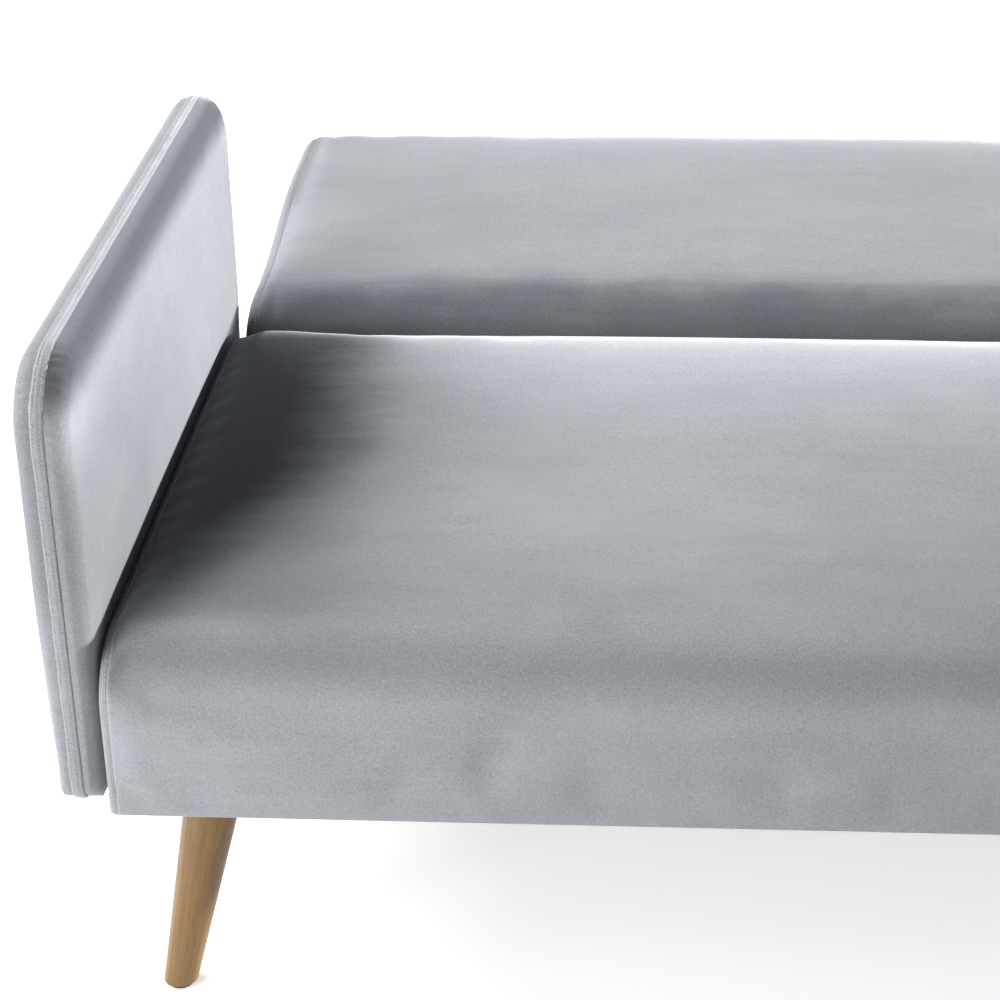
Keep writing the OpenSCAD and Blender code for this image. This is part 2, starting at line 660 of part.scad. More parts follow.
module seat_hinge_plate() color(steel_colour) difference() {
    upright_half = hub_r * upright_share;
    side_plate(seat_rail_x, plate_t) union() {
        pane(seat_bar_y, hinge_y + upright_half, bar_low, bar_low + bar_h);
        pane(hinge_y - upright_half, hinge_y + upright_half, bar_low, hinge_z);
        translate([hinge_y, hinge_z]) circle(r = hub_r);
    }
    bar_x(pin_d, seat_rail_x - over, plate_t + 2 * over, hinge_y, hinge_z);
    for (y = seat_hinge_bolt_ys)
        bar_x(hinge_bolt_d + 2 * bolt_room, seat_rail_x - over, plate_t + 2 * over, y,
              seat_hinge_bolt_z);
}
module seat_hinge_plate_left() mirror([1, 0, 0]) seat_hinge_plate();
module seat_hinge_plate_right() seat_hinge_plate();

module ratchet_wheels() color(steel_colour) both_ends()
    side_plate(ratchet_x, ratchet_t) translate([hinge_y, hinge_z]) difference() {
        circle(r = ratchet_r);
        circle(d = pin_d);
        for (a = click_angles) rim_notch(pawl_tip_a + a);
    }

module hinge_pins() color(steel_colour) both_ends() {
    end_x = seat_rail_x + plate_t;
    bar_x(pin_rim_d, back_plate_x, pin_rim_t, hinge_y, hinge_z);
    bar_x(pin_d, back_plate_x, end_x - back_plate_x, hinge_y, hinge_z);
    bar_x(pin_head_d, end_x, pin_head_h, hinge_y, hinge_z);
}

module hinge_bolts(x, ys, z) color(steel_colour) both_ends() for (y = ys) {
    bar_x(hinge_bolt_head_d, x + plate_t, hinge_bolt_head_h, y, z);
    bar_x(hinge_bolt_d - 2 * run_room, x + plate_t + end_gap - hinge_bolt_len,
          hinge_bolt_len - end_gap, y, z);
}
module seat_hinge_bolts() hinge_bolts(seat_rail_x, seat_hinge_bolt_ys, seat_hinge_bolt_z);

back_bar_y1 = hinge_y + bar_len;
back_bar_z = back_frame_z + (back_rail_h - bar_h) / 2;
back_hinge_bolt_ys = [for (s = hinge_bolt_shares) mix(hinge_y + hub_r, back_bar_y1, s)];
back_hinge_bolt_z = back_bar_z + bar_h / 2;
module back_hinge_plate() color(steel_colour) difference() {
    side_plate(back_plate_x, plate_t) union() {
        pane(hinge_y - hub_r, back_bar_y1, back_bar_z, back_bar_z + bar_h);
        pane(hinge_y - hub_r, hinge_y, back_bar_z, hinge_z);
        translate([hinge_y, hinge_z]) circle(r = hub_r);
        pane(hinge_y, spring_foot[0] + spring_foot_r, back_bar_z, hinge_z + hub_r);
    }
    bar_x(pin_d + 2 * run_room, back_plate_x - over, plate_t + 2 * over, hinge_y, hinge_z);
    bar_x(pin_rim_d + 2 * play, back_plate_x - over, pin_rim_t + play + over, hinge_y, hinge_z);
    for (y = back_hinge_bolt_ys)
        bar_x(hinge_bolt_d + 2 * bolt_room, back_plate_x - over, plate_t + 2 * over, y,
              back_hinge_bolt_z);
    bar_x(pawl_pin_d - rivet_step, back_plate_x - over, plate_t + 2 * over, pawl_pin[0], pawl_pin[1]);
}
module back_hinge_plate_left() mirror([1, 0, 0]) back_hinge_plate();
module back_hinge_plate_right() back_hinge_plate();

module back_hinge_bolts() hinge_bolts(back_plate_x, back_hinge_bolt_ys, back_hinge_bolt_z);

// The pawl with its own rivet, which turns in the back's hinge plate
// Its back edge, on which the leaf spring presses
pawl_back = [pawl_tip + [pawl_boss_r, pawl_boss_r / 2], pawl_pin + [pawl_boss_r / 2, pawl_boss_r]];
pawl_rivet_d = pawl_pin_d - rivet_step - 2 * run_room;
module pawl() color(steel_colour) {
    side_plate(ratchet_x, ratchet_t - play) union() {
        translate(pawl_pin) circle(r = pawl_boss_r);
        polygon([pawl_tip, pawl_back[0], pawl_back[1], pawl_pin - [pawl_boss_r / 2, 0]]);
    }
    bar_x(pawl_rivet_d, back_plate_x, ratchet_x + ratchet_t - play - back_plate_x, pawl_pin[0],
          pawl_pin[1]);
}
module pawl_left() mirror([1, 0, 0]) pawl();
module pawl_right() pawl();

module pawl_springs() color(steel_colour) both_ends() {
    run = pawl_back[1] - pawl_back[0];
    out = [-run[1], run[0]] / norm(run);
    touch = mix(pawl_back[0], pawl_back[1], spring_touch_share) + spring_gap * out;
    side_plate(ratchet_x, ratchet_t - play) union() {
        polygon([touch, touch + spring_t * out, spring_foot + [0, spring_foot_r],
                 spring_foot + [0, spring_foot_r - spring_t]]);
        translate(spring_foot) circle(r = spring_foot_r);
    }
    bar_x(spring_pin_d, ratchet_x - play, play + ratchet_t / 2, spring_foot[0], spring_foot[1]);
}

// Back frame
back_rail_in_x = back_rail_x - rail_t;
back_rail_front_y = back_front_y + skin;
back_rail_far_y = back_far_y - skin;
bearing_w = 30;
bearing_len = 84;
bearing_plate_t = 4;
bearing_screw_d = 5;
bearing_screw_len = 26;
bearing_screw_head_d = 10;
bearing_screw_head_h = 3;
bearing_wall = 6;
bearing_boss_r = axle_d / 2 + bearing_wall;
axle_gap = 2;
axle_drop = bearing_boss_r + axle_gap;
bearing_top = back_frame_z - cloth_t;
axle_y = back_far_y - stand_in_y;
axle_z = bearing_top - axle_drop;
bearing_screw_share = 0.4;
bearing_screw_ys = [for (s = [-1, 1]) axle_y + s * bearing_screw_share * bearing_len];

module back_front_rail() color(wood_colour)
    box([-back_rail_in_x, back_rail_front_y, back_frame_z],
        [back_rail_in_x, back_rail_front_y + rail_t, back_frame_top]);
module back_far_rail() color(wood_colour)
    box([-back_rail_in_x, back_rail_far_y - rail_t, back_frame_z],
        [back_rail_in_x, back_rail_far_y, back_frame_top]);
module back_end_rail() color(wood_colour) difference() {
    box([back_rail_in_x, back_rail_front_y, back_frame_z],
        [back_rail_x, back_rail_far_y, back_frame_top]);
    for (y = back_hinge_bolt_ys)
        bar_x(hinge_bolt_d, back_rail_x - hinge_bolt_len, hinge_bolt_len + over, y,
              back_hinge_bolt_z);
}
module back_left_rail() mirror([1, 0, 0]) back_end_rail();
module back_right_rail() back_end_rail();
module back_cross_rails() color(wood_colour) {
    for (x = [-stand_bearing_x, 0, stand_bearing_x]) difference() {
        box([x - rail_t / 2, back_rail_front_y + rail_t, back_frame_z],
            [x + rail_t / 2, back_rail_far_y - rail_t, back_frame_top]);
        for (y = bearing_screw_ys) translate([x, y, back_frame_z - over])
            cylinder(d = bearing_screw_d, h = bearing_screw_len + over);
    }
}
module back_slats() slats(back_rail_front_y, back_rail_far_y, back_frame_top);
module back_felt() color(felt_colour)
    box([-back_rail_in_x, back_rail_front_y, back_frame_top + slat_t],
        [back_rail_in_x, back_rail_far_y, back_foam_z]);

// Back cushion and its covers
back_corner_r = max(back_far_corner_r, back_front_corner_r);
back_panel_in_x = back_half - cover_t;
back_pad_end_x = back_panel_in_x - soft_gap;
back_xs = stations(back_half, end_edge_r, back_corner_r, [back_pad_end_x, back_rail_x]);
// Half width of the notch for the hinge's hub, and of the hollow for the ratchet wheel
hinge_room = hub_r + cut_room;
ratchet_room = ratchet_r + cut_room;

module back_foam() color(foam_colour) ring_solid([for (x = within(back_xs, back_rail_x))
    above(back_section(x, under_cover), back_foam_z)]);
// Cut-out under the back's nose, through which the seat's hinge plate reaches the hinge
module hinge_notch() pane(back_front_y - over, hinge_y + hinge_room, back_bottom - over,
                          hinge_z + hinge_room);
module back_end_pads() color(foam_colour) {
    both_ends() side_plate(back_rail_x, back_pad_end_x - back_rail_x) difference() {
        polygon(flat_outline(back_section(back_pad_end_x, under_cover)));
        pane(back_front_y - over, back_bar_y1 + cut_room, back_bottom - over,
               hinge_z + ratchet_room);
    }
    low_z = back_frame_z + tuck_r;
    run_x = back_half - corner_run_share * back_corner_r;
    box([-run_x, back_front_y + under_cover, low_z], [run_x, back_rail_front_y, back_foam_z]);
    box([-run_x, back_rail_far_y, low_z], [run_x, back_far_y - under_cover, back_foam_z]);
}
module back_cover() color(velvet) difference() {
    ladder_shell([for (x = back_xs) back_section(x, 0)],
                 [for (x = back_xs) back_section(x, cover_t)]);
    both_ends() side_plate(back_plate_x + plate_t, back_half) hinge_notch();
}
module back_side_panels() color(velvet) both_ends() side_plate(back_panel_in_x, cover_t)
    difference() {
        polygon(flat_outline(back_section(back_half, under_cover)));
        hinge_notch();
    }
module back_dust_cloth() color(cloth_colour) difference() {
    box([-back_rail_x, back_front_y + tuck_w + over, back_frame_z - cloth_t],
        [back_rail_x, back_far_y - tuck_w - over, back_frame_z]);
    for (x = [-stand_bearing_x, stand_bearing_x], y = bearing_screw_ys)
        translate([x, y, back_bottom])
            cylinder(d = bearing_screw_d + 2 * bolt_room, h = cover_t + over);
}

// Stand
module at_bearings() for (x = [-stand_bearing_x, stand_bearing_x]) translate([x, axle_y, 0])
    children();
module stand_bearings() color(tube_colour) at_bearings() difference() {
    union() {
        translate([-bearing_w / 2, -bearing_len / 2, bearing_top - bearing_plate_t])
            cube([bearing_w, bearing_len, bearing_plate_t]);
        translate([-bearing_w / 2, -bearing_boss_r, axle_z])
            cube([bearing_w, 2 * bearing_boss_r, bearing_top - bearing_plate_t / 2 - axle_z]);
        bar_x(2 * bearing_boss_r, -bearing_w / 2, bearing_w, 0, axle_z);
    }
    bar_x(axle_d + 2 * run_room, -bearing_w / 2 - over, bearing_w + 2 * over, 0, axle_z);
    for (y = bearing_screw_ys) translate([0, y - axle_y, bearing_top - bearing_plate_t - over])
        cylinder(d = bearing_screw_d + 2 * bolt_room, h = bearing_plate_t + 2 * over);
}
module stand_bearing_screws() color(steel_colour) at_bearings() for (y = bearing_screw_ys)
    translate([0, y - axle_y, bearing_top - bearing_plate_t]) {
        translate([0, 0, -bearing_screw_head_h])
            cylinder(d = bearing_screw_head_d, h = bearing_screw_head_h);
        cylinder(d = bearing_screw_d - 2 * run_room,
                 h = bearing_plate_t + bearing_screw_len - end_gap);
    }
module stand_axle() color(tube_colour) difference() {
    axle_half = stand_leg_x + stand_leg_d / 2;
    bar_x(axle_d, -axle_half, 2 * axle_half, axle_y, axle_z);
    bar_x(axle_d - 2 * tube_wall, -axle_half - over, 2 * axle_half + 2 * over, axle_y, axle_z);
}
stand_leg_z = 5;
module stand_legs() color(tube_colour) for (x = [-stand_leg_x, stand_leg_x]) difference() {
    translate([x, axle_y, stand_leg_z]) cylinder(d = stand_leg_d, h = axle_z - stand_leg_z);
    translate([x, axle_y, stand_leg_z - over])
        cylinder(d = stand_leg_d - 2 * tube_wall, h = axle_z - stand_leg_z + over);
    bar_x(axle_d, x - stand_leg_d, 2 * stand_leg_d, axle_y, axle_z);
}
module stand_foot_caps() color(rubber_colour) for (x = [-stand_leg_x, stand_leg_x])
    translate([x, axle_y, 0]) difference() {
        cylinder(d = stand_leg_d + stand_leg_z, h = foot_cap_h);
        translate([0, 0, stand_leg_z])
            cylinder(d = stand_leg_d + 2 * run_room, h = foot_cap_h);
    }

seat_front_rail();
seat_rear_rail();
seat_left_rail();
seat_right_rail();
seat_cross_rails();
seat_corner_blocks();
seat_slats();
seat_felt();
seat_foam();
seat_edge_pads();
seat_cover();
seat_side_panels();
seat_dust_cloth();
leg_front_left();
leg_front_right();
leg_rear_left();
leg_rear_right();
leg_plates();
leg_bolts();
leg_plate_screws();
leg_glides();
arm_board_left();
arm_board_right();
arm_foam_left();
arm_foam_right();
arm_inner_cover_left();
arm_inner_cover_right();
arm_outer_cover_left();
arm_outer_cover_right();
arm_edge_strips();
arm_bolts();
arm_washers();
seat_hinge_plate_left();
seat_hinge_plate_right();
ratchet_wheels();
hinge_pins();
seat_hinge_bolts();
back_front_rail();
back_far_rail();
back_left_rail();
back_right_rail();
back_cross_rails();
back_slats();
back_felt();
back_foam();
back_end_pads();
back_cover();
back_side_panels();
back_dust_cloth();
back_hinge_plate_left();
back_hinge_plate_right();
back_hinge_bolts();
pawl_left();
pawl_right();
pawl_springs();
stand_bearings();
stand_bearing_screws();
stand_axle();
stand_legs();
stand_foot_caps();
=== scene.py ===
# %% [markdown]
# A sofa bed in grey velvet, folded flat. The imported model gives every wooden, steel and rubber
# piece at its true place. This script leaves those where they are and gives them better
# finishes. The upholstery is what needs Blender: each cushion and arm is rebuilt here as a
# stuffed cover with seams and stitches, and it stands for the plain solids under it.

# %% Load the frame
import json
import bmesh
import bpy
from math import atan2, copysign, cos, exp, pi, radians, sin, sqrt
from mathutils import Matrix, Vector, noise


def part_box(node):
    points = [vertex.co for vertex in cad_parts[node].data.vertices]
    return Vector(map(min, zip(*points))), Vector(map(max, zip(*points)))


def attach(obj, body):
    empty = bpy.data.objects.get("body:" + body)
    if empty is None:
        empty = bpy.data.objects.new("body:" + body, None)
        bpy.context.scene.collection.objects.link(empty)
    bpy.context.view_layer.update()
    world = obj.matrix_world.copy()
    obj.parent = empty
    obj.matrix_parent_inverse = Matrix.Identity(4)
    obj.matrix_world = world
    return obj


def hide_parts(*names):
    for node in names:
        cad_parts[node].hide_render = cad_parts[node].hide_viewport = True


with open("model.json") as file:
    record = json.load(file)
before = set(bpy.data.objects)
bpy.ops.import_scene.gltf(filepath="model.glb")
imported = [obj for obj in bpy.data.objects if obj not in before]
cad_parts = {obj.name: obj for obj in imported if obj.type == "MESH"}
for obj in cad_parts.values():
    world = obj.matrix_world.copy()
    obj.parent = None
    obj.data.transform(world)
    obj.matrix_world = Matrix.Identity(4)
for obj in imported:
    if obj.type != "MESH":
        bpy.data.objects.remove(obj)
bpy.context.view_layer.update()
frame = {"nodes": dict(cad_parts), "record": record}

nodes = frame["nodes"]

# %% [markdown]
# The camera comes first, so that every piece can be judged against the photograph. Its place
# and lens were worked out from the edges of the seat, the back and the arm. The shift only
# frames the picture: the photograph is a crop from the left part of a wider view.

# %% Camera
camera_data = bpy.data.cameras.new("camera")
camera_data.lens = 36 * 2.3869
camera_data.shift_x = (500 - 586.2) / 1000
camera_data.shift_y = (387.3 - 500) / 1000
camera_data.clip_end = 50
camera = bpy.data.objects.new("camera", camera_data)
bpy.context.scene.collection.objects.link(camera)
turn = (Matrix.Rotation(radians(2.678), 4, 'Z') @ Matrix.Rotation(radians(90 - 25.746), 4, 'X')
        @ Matrix.Rotation(radians(-0.314), 4, 'Z'))
camera.rotation_euler = turn.to_euler()
camera.location = (-0.4628, -2.0095, 1.2527)
bpy.context.scene.camera = camera
bpy.context.scene.view_settings.view_transform = 'Standard'
print("lens", round(camera_data.lens, 1))

# %% [markdown]
# These are the sizes of the real pieces that the upholstery follows, in metres. The boxes of
# the plain solids give the places, so that nothing has to be fitted by eye.

# %% Sizes of the upholstery
seat_low, seat_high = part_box("seat_cover")
back_low, back_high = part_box("back_cover")
arm_low, arm_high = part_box("arm_outer_cover_right")
inner_low, inner_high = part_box("arm_inner_cover_right")
SEAT_HALF = seat_high.x
BACK_HALF = back_high.x
ARM_T = arm_high.x - inner_low.x
ARM_MIDDLE = inner_high.x
print("seat", [round(v, 4) for v in (*seat_low, *seat_high)])
print("back", [round(v, 4) for v in (*back_low, *back_high)])
print("arm", [round(v, 4) for v in (*inner_low, *arm_high)])


# %% [markdown]
# A shader group holds an effect that several finishes share. Velvet is a dense upright pile. It
# has no weave to see, only a fine fuzz and soft patches where the pile has been stroked another
# way, so its group gives two values: the patches, for the colour, and the fuzz, for the bump.

# %% Helpers for shader groups
def start_group(name, inputs, outputs):
    group = bpy.data.node_groups.new(name, 'ShaderNodeTree')
    for socket_name, value in inputs:
        kind = 'NodeSocketFloat' if isinstance(value, float) else 'NodeSocketVector'
        socket = group.interface.new_socket(socket_name, in_out='INPUT', socket_type=kind)
        socket.default_value = value
    for socket_name in outputs:
        group.interface.new_socket(socket_name, in_out='OUTPUT', socket_type='NodeSocketFloat')
    return group, group.nodes.new('NodeGroupInput'), group.nodes.new('NodeGroupOutput')


def add_node(tree, kind, **settings):
    node = tree.nodes.new(kind)
    for key, value in settings.items():
        setattr(node, key, value)
    return node


def set_inputs(node, **values):
    for key, value in values.items():
        node.inputs[key.replace("_", " ")].default_value = value


def add_math(tree, operation, first, second=None):
    node = tree.nodes.new('ShaderNodeMath')
    node.operation = operation
    for socket, value in zip(node.inputs, (first, second)):
        if isinstance(value, (int, float)):
            socket.default_value = value
        elif value is not None:
            tree.links.new(value, socket)
    return node.outputs[0]


def object_place(tree):
    return tree.nodes.new('ShaderNodeTexCoord').outputs['Object']


def stretched_noise(tree, place, stretch, scale, detail, rough=0.5):
    mapping = tree.nodes.new('ShaderNodeMapping')
    mapping.inputs['Scale'].default_value = stretch
    tree.links.new(place, mapping.inputs['Vector'])
    texture = tree.nodes.new('ShaderNodeTexNoise')
    tree.links.new(mapping.outputs[0], texture.inputs['Vector'])
    set_inputs(texture, Scale=scale, Detail=detail, Roughness=rough)
    return texture.outputs['Fac']


# %% Pile group
pile_group, pile_in, pile_out = start_group(
    "pile", [("Patch size", 3.0), ("Fuzz size", 620.0)], ["Patches", "Fuzz", "Grain"])
place = object_place(pile_group)
broad = stretched_noise(pile_group, place, (1, 1.6, 1.6), 3.0, 3.0)
pile_group.links.new(pile_in.outputs["Patch size"], broad.node.inputs['Scale'])
streak = stretched_noise(pile_group, place, (1, 7, 7), 9.0, 4.0, 0.6)
fuzz = stretched_noise(pile_group, place, (1, 1, 1), 900.0, 2.0, 0.6)
pile_group.links.new(pile_in.outputs["Fuzz size"], fuzz.node.inputs['Scale'])
clump = stretched_noise(pile_group, place, (1, 1, 1), 160.0, 3.0, 0.6)
soft = stretched_noise(pile_group, place, (1, 1.3, 1.3), 13.0, 4.0, 0.6)
brushed = add_math(pile_group, 'ADD', add_math(pile_group, 'MULTIPLY', soft, 0.3),
                   add_math(pile_group, 'MULTIPLY', streak, 0.2))
patches = add_math(pile_group, 'ADD', add_math(pile_group, 'MULTIPLY', broad, 0.5), brushed)
pile_group.links.new(patches, pile_out.inputs["Patches"])
height = add_math(pile_group, 'ADD', fuzz, add_math(pile_group, 'MULTIPLY', clump, 0.7))
pile_group.links.new(height, pile_out.inputs["Fuzz"])
pile_group.links.new(fuzz, pile_out.inputs["Grain"])
print("group", pile_group.name)


# %% [markdown]
# Every finish starts the same way: a material with its own shader, whose steady numbers are
# set on its sockets. What changes over the surface is linked in.

# %% Helper for finishes
def start_finish(name, **values):
    finish = bpy.data.materials.new(name)
    finish.use_nodes = True
    shader = finish.node_tree.nodes['Principled BSDF']
    for key, value in values.items():
        shader.inputs[key.replace("_", " ")].default_value = value
    return finish, finish.node_tree, shader


def two_tone(tree, shader, fac, dark, light, low=0.3, high=0.7):
    ramp = tree.nodes.new('ShaderNodeValToRGB')
    ramp.color_ramp.elements[0].position = low
    ramp.color_ramp.elements[0].color = (*dark, 1)
    ramp.color_ramp.elements[1].position = high
    ramp.color_ramp.elements[1].color = (*light, 1)
    tree.links.new(fac, ramp.inputs['Fac'])
    tree.links.new(ramp.outputs['Color'], shader.inputs['Base Color'])
    return ramp


def bump_by(tree, shader, height, distance, strength=1.0):
    bump = tree.nodes.new('ShaderNodeBump')
    bump.inputs['Distance'].default_value = distance
    bump.inputs['Strength'].default_value = strength
    tree.links.new(height, bump.inputs['Height'])
    tree.links.new(bump.outputs['Normal'], shader.inputs['Normal'])
    return bump


def wear_range(tree, shader, fac, low, high):
    spread = tree.nodes.new('ShaderNodeMapRange')
    spread.inputs['To Min'].default_value = low
    spread.inputs['To Max'].default_value = high
    tree.links.new(fac, spread.inputs['Value'])
    tree.links.new(spread.outputs['Result'], shader.inputs['Roughness'])


# %% [markdown]
# Velvet shines where it is seen along the surface and darkens where it is seen straight on. The
# shader's sheen does that by itself, over a base colour that is darker than the cloth looks.

# %% Velvet
def ramp_down(tree, value, start, end):
    fall = add_node(tree, 'ShaderNodeMapRange', interpolation_type='SMOOTHSTEP')
    fall.inputs['From Min'].default_value, fall.inputs['From Max'].default_value = start, end
    fall.inputs['To Min'].default_value, fall.inputs['To Max'].default_value = 1, 0
    tree.links.new(value, fall.inputs['Value'])
    return fall.outputs['Result']


def velvet_finish(name, dark, light, painted_light=(), sheen=(1.0, 0.5)):
    finish, tree, shader = start_finish(name, Sheen_Weight=sheen[0], Sheen_Roughness=sheen[1],
                                        Specular_IOR_Level=0.1)
    shader.inputs['Sheen Tint'].default_value = (0.90, 0.94, 1.0, 1)
    pile = add_node(tree, 'ShaderNodeGroup', node_tree=pile_group)
    tone = add_math(tree, 'ADD', pile.outputs["Patches"],
                    add_math(tree, 'MULTIPLY', add_math(tree, 'SUBTRACT', pile.outputs["Grain"], 0.5),
                             0.9))
    colour = two_tone(tree, shader, tone, dark, light, 0.25, 0.75).outputs['Color']
    # Each entry paints light or shade into the base colour: a mask, and the tone it multiplies the
    # colour by there.
    for mask, painted_tone in painted_light:
        shade = add_node(tree, 'ShaderNodeMix', data_type='RGBA', blend_type='MULTIPLY')
        spots = tree.nodes.new('ShaderNodeSeparateXYZ')
        tree.links.new(object_place(tree), spots.inputs[0])
        tree.links.new(mask(tree, spots.outputs, pile.outputs["Patches"]), shade.inputs['Factor'])
        tree.links.new(colour, shade.inputs['A'])
        shade.inputs['B'].default_value = (*painted_tone, 1)
        colour = shade.outputs['Result']
        tree.links.new(colour, shader.inputs['Base Color'])
    wear_range(tree, shader, pile.outputs["Patches"], 0.75, 0.9)
    bump_by(tree, shader, pile.outputs["Fuzz"], 0.0004, 0.5)
    return finish


# %% [markdown]
# Light and shade are painted into the velvet's base colour here, each as a darker or lighter
# mask. The seat has painted shadow beside the left arm, where the arm's shadow falls, painted
# shade along its front rounding and a painted sheen that lightens it towards the rear; the back has
# painted shade near the joint and on its ends; the arms have painted shade along the roll of their
# inner edge and on their outer faces. A mask is read from the place on the piece and broken up by
# the patches.

# %% Velvet with painted shade and sheen
# Painted shadow on the seat beside the left arm, where the arm's shadow falls, and painted shade
# along the front rounding.
def seat_painted_shade(tree, spots, patches):
    from_end = add_math(tree, 'ADD', spots[0], SEAT_HALF)
    taper = add_math(tree, 'ADD', add_math(tree, 'MULTIPLY', spots[1], 0.5), 0.27)
    width = add_math(tree, 'MINIMUM', taper, 0.13)
    ragged = add_math(tree, 'MULTIPLY', add_math(tree, 'SUBTRACT', patches, 0.5), 0.12)
    over = add_math(tree, 'ADD', add_math(tree, 'SUBTRACT', from_end, width), ragged)
    front = ramp_down(tree, spots[1], -0.505, -0.56)
    arm_shadow_paint = add_math(tree, 'MULTIPLY', ramp_down(tree, over, -0.055, 0.06), front)
    # Painted shade along the seat's front rounding, broken up by the patches.
    band = add_math(tree, 'MULTIPLY', ramp_down(tree, spots[1], -0.545, -0.515),
                    ramp_down(tree, spots[2], 0.325, 0.285))
    rounding_painted_shade = add_math(tree, 'MULTIPLY', band, add_math(tree, 'MULTIPLY', patches, 0.5))
    return add_math(tree, 'MAXIMUM', arm_shadow_paint, rounding_painted_shade)


# Painted sheen: the seat's base colour is lightened towards the rear.
def seat_rear_painted_sheen(tree, spots, patches):
    return ramp_down(tree, spots[1], 0.05, -0.32)


# Painted shade on the back near the joint, along its rounded front edge.
def back_joint_painted_shade(tree, spots, patches):
    ragged = add_math(tree, 'MULTIPLY', add_math(tree, 'SUBTRACT', patches, 0.5), 0.16)
    return ramp_down(tree, add_math(tree, 'ADD', spots[1], ragged), 0.050, 0.150)


# Painted shade along the roll of the arm's inner edge, between the lit top and the lit inner face.
def arm_roll_painted_shade(tree, spots, patches):
    side = add_math(tree, 'ABSOLUTE', spots[0])
    inner = ramp_down(tree, side, ARM_MIDDLE - 0.0055, ARM_MIDDLE - 0.0040)
    ragged = add_math(tree, 'MULTIPLY', add_math(tree, 'SUBTRACT', patches, 0.5), 0.03)
    high = ramp_down(tree, add_math(tree, 'ADD', spots[2], ragged), 0.540, 0.508)
    return add_math(tree, 'MULTIPLY', inner, high)


# Painted shade on the arm's outer face, darkest at its upper front.
def arm_outer_painted_shade(tree, spots, patches):
    side = add_math(tree, 'ABSOLUTE', spots[0])
    outer = ramp_down(tree, side, ARM_MIDDLE + 0.006, ARM_MIDDLE + 0.003)
    ahead = ramp_down(tree, spots[1], -0.50, -0.30)
    high = ramp_down(tree, spots[2], 0.40, 0.25)
    front_rim = add_math(tree, 'MULTIPLY', ahead, high)
    return add_math(tree, 'MULTIPLY', outer, add_math(tree, 'MAXIMUM', front_rim, 0.7))


# Painted shade on the ends of the back, beside the arms.
def back_end_painted_shade(tree, spots, patches):
    side = add_math(tree, 'ABSOLUTE', spots[0])
    return ramp_down(tree, side, BACK_HALF - 0.002, BACK_HALF - 0.012)


GREY = ((0.26, 0.275, 0.30), (0.40, 0.415, 0.44))
velvet = velvet_finish("velvet_grey", *GREY)
# The seat, back and arm velvets carry painted shadow, painted shade and painted sheen in their base
# colours; each tone after a mask is how far that mask darkens or lightens the colour.
velvet_seat = velvet_finish("velvet_grey_seat", (0.30, 0.317, 0.345), (0.46, 0.477, 0.505),
                            [(seat_painted_shade, (0.10, 0.10, 0.11)), (seat_rear_painted_sheen, (1.45, 1.45, 1.45))],
                            (0.6, 0.35))
velvet_back = velvet_finish("velvet_grey_back", (0.285, 0.30, 0.327), (0.443, 0.459, 0.485),
                            [(back_joint_painted_shade, (0.48, 0.48, 0.50)), (back_end_painted_shade, (0.75, 0.75, 0.75))],
                            (0.7, 0.4))
velvet_arm = velvet_finish("velvet_grey_arm", (0.30, 0.315, 0.34), (0.46, 0.475, 0.50),
                           [(arm_roll_painted_shade, (0.30, 0.30, 0.32)), (arm_outer_painted_shade, (0.66, 0.66, 0.66))],
                           (0.6, 0.4))
thread, tree, shader = start_finish("thread_grey", Roughness=0.6, Sheen_Weight=0.3)
twist = stretched_noise(tree, object_place(tree), (1, 1, 1), 1500, 2)
two_tone(tree, shader, twist, (0.34, 0.35, 0.37), (0.60, 0.61, 0.63))
print("velvet and thread ready")

# %% [markdown]
# Wood is the same effect in every finish too: long fibres, growth bands and small dark pores.
# The group takes the place to read, so each piece can turn and shift the grain to suit its run.

# %% Grain group
grain_group, grain_in, grain_out = start_group(
    "wood_grain", [("Place", (0.0, 0.0, 0.0))], ["Bands", "Fibres", "Pores"])
run = grain_in.outputs["Place"]
bend = stretched_noise(grain_group, run, (1, 1, 0.25), 9.0, 2.0)
bands = stretched_noise(grain_group, run, (1, 1, 0.05), 70.0, 3.0, 0.55)
grain_group.links.new(add_math(grain_group, 'ADD', add_math(grain_group, 'MULTIPLY', bend, 0.45),
                               add_math(grain_group, 'MULTIPLY', bands, 0.55)),
                      grain_out.inputs["Bands"])
grain_group.links.new(stretched_noise(grain_group, run, (1, 1, 0.03), 420.0, 3.0, 0.6),
                      grain_out.inputs["Fibres"])
grain_group.links.new(stretched_noise(grain_group, run, (1, 1, 0.07), 800.0, 2.0, 0.7),
                      grain_out.inputs["Pores"])


def wood_finish(name, axis, shift, dark, light, rough, coat=0.0):
    finish, tree, shader = start_finish(name, Coat_Weight=coat, Coat_Roughness=0.25)
    mapping = add_node(tree, 'ShaderNodeMapping')
    mapping.inputs['Location'].default_value = shift
    mapping.inputs['Rotation'].default_value = Vector(axis).rotation_difference(
        Vector((0, 0, 1))).to_euler()
    tree.links.new(object_place(tree), mapping.inputs['Vector'])
    grain = add_node(tree, 'ShaderNodeGroup', node_tree=grain_group)
    tree.links.new(mapping.outputs[0], grain.inputs["Place"])
    tone = add_math(tree, 'ADD', add_math(tree, 'MULTIPLY', grain.outputs["Bands"], 0.5),
                    add_math(tree, 'MULTIPLY', grain.outputs["Fibres"], 0.5))
    pores = add_math(tree, 'MULTIPLY', add_math(tree, 'GREATER_THAN', grain.outputs["Pores"], 0.64),
                     0.10)
    two_tone(tree, shader, add_math(tree, 'SUBTRACT', tone, pores), dark, light, 0.36, 0.62)
    wear_range(tree, shader, grain.outputs["Fibres"], rough - 0.08, rough + 0.10)
    bump_by(tree, shader, tone, 0.0004, 0.35)
    return finish


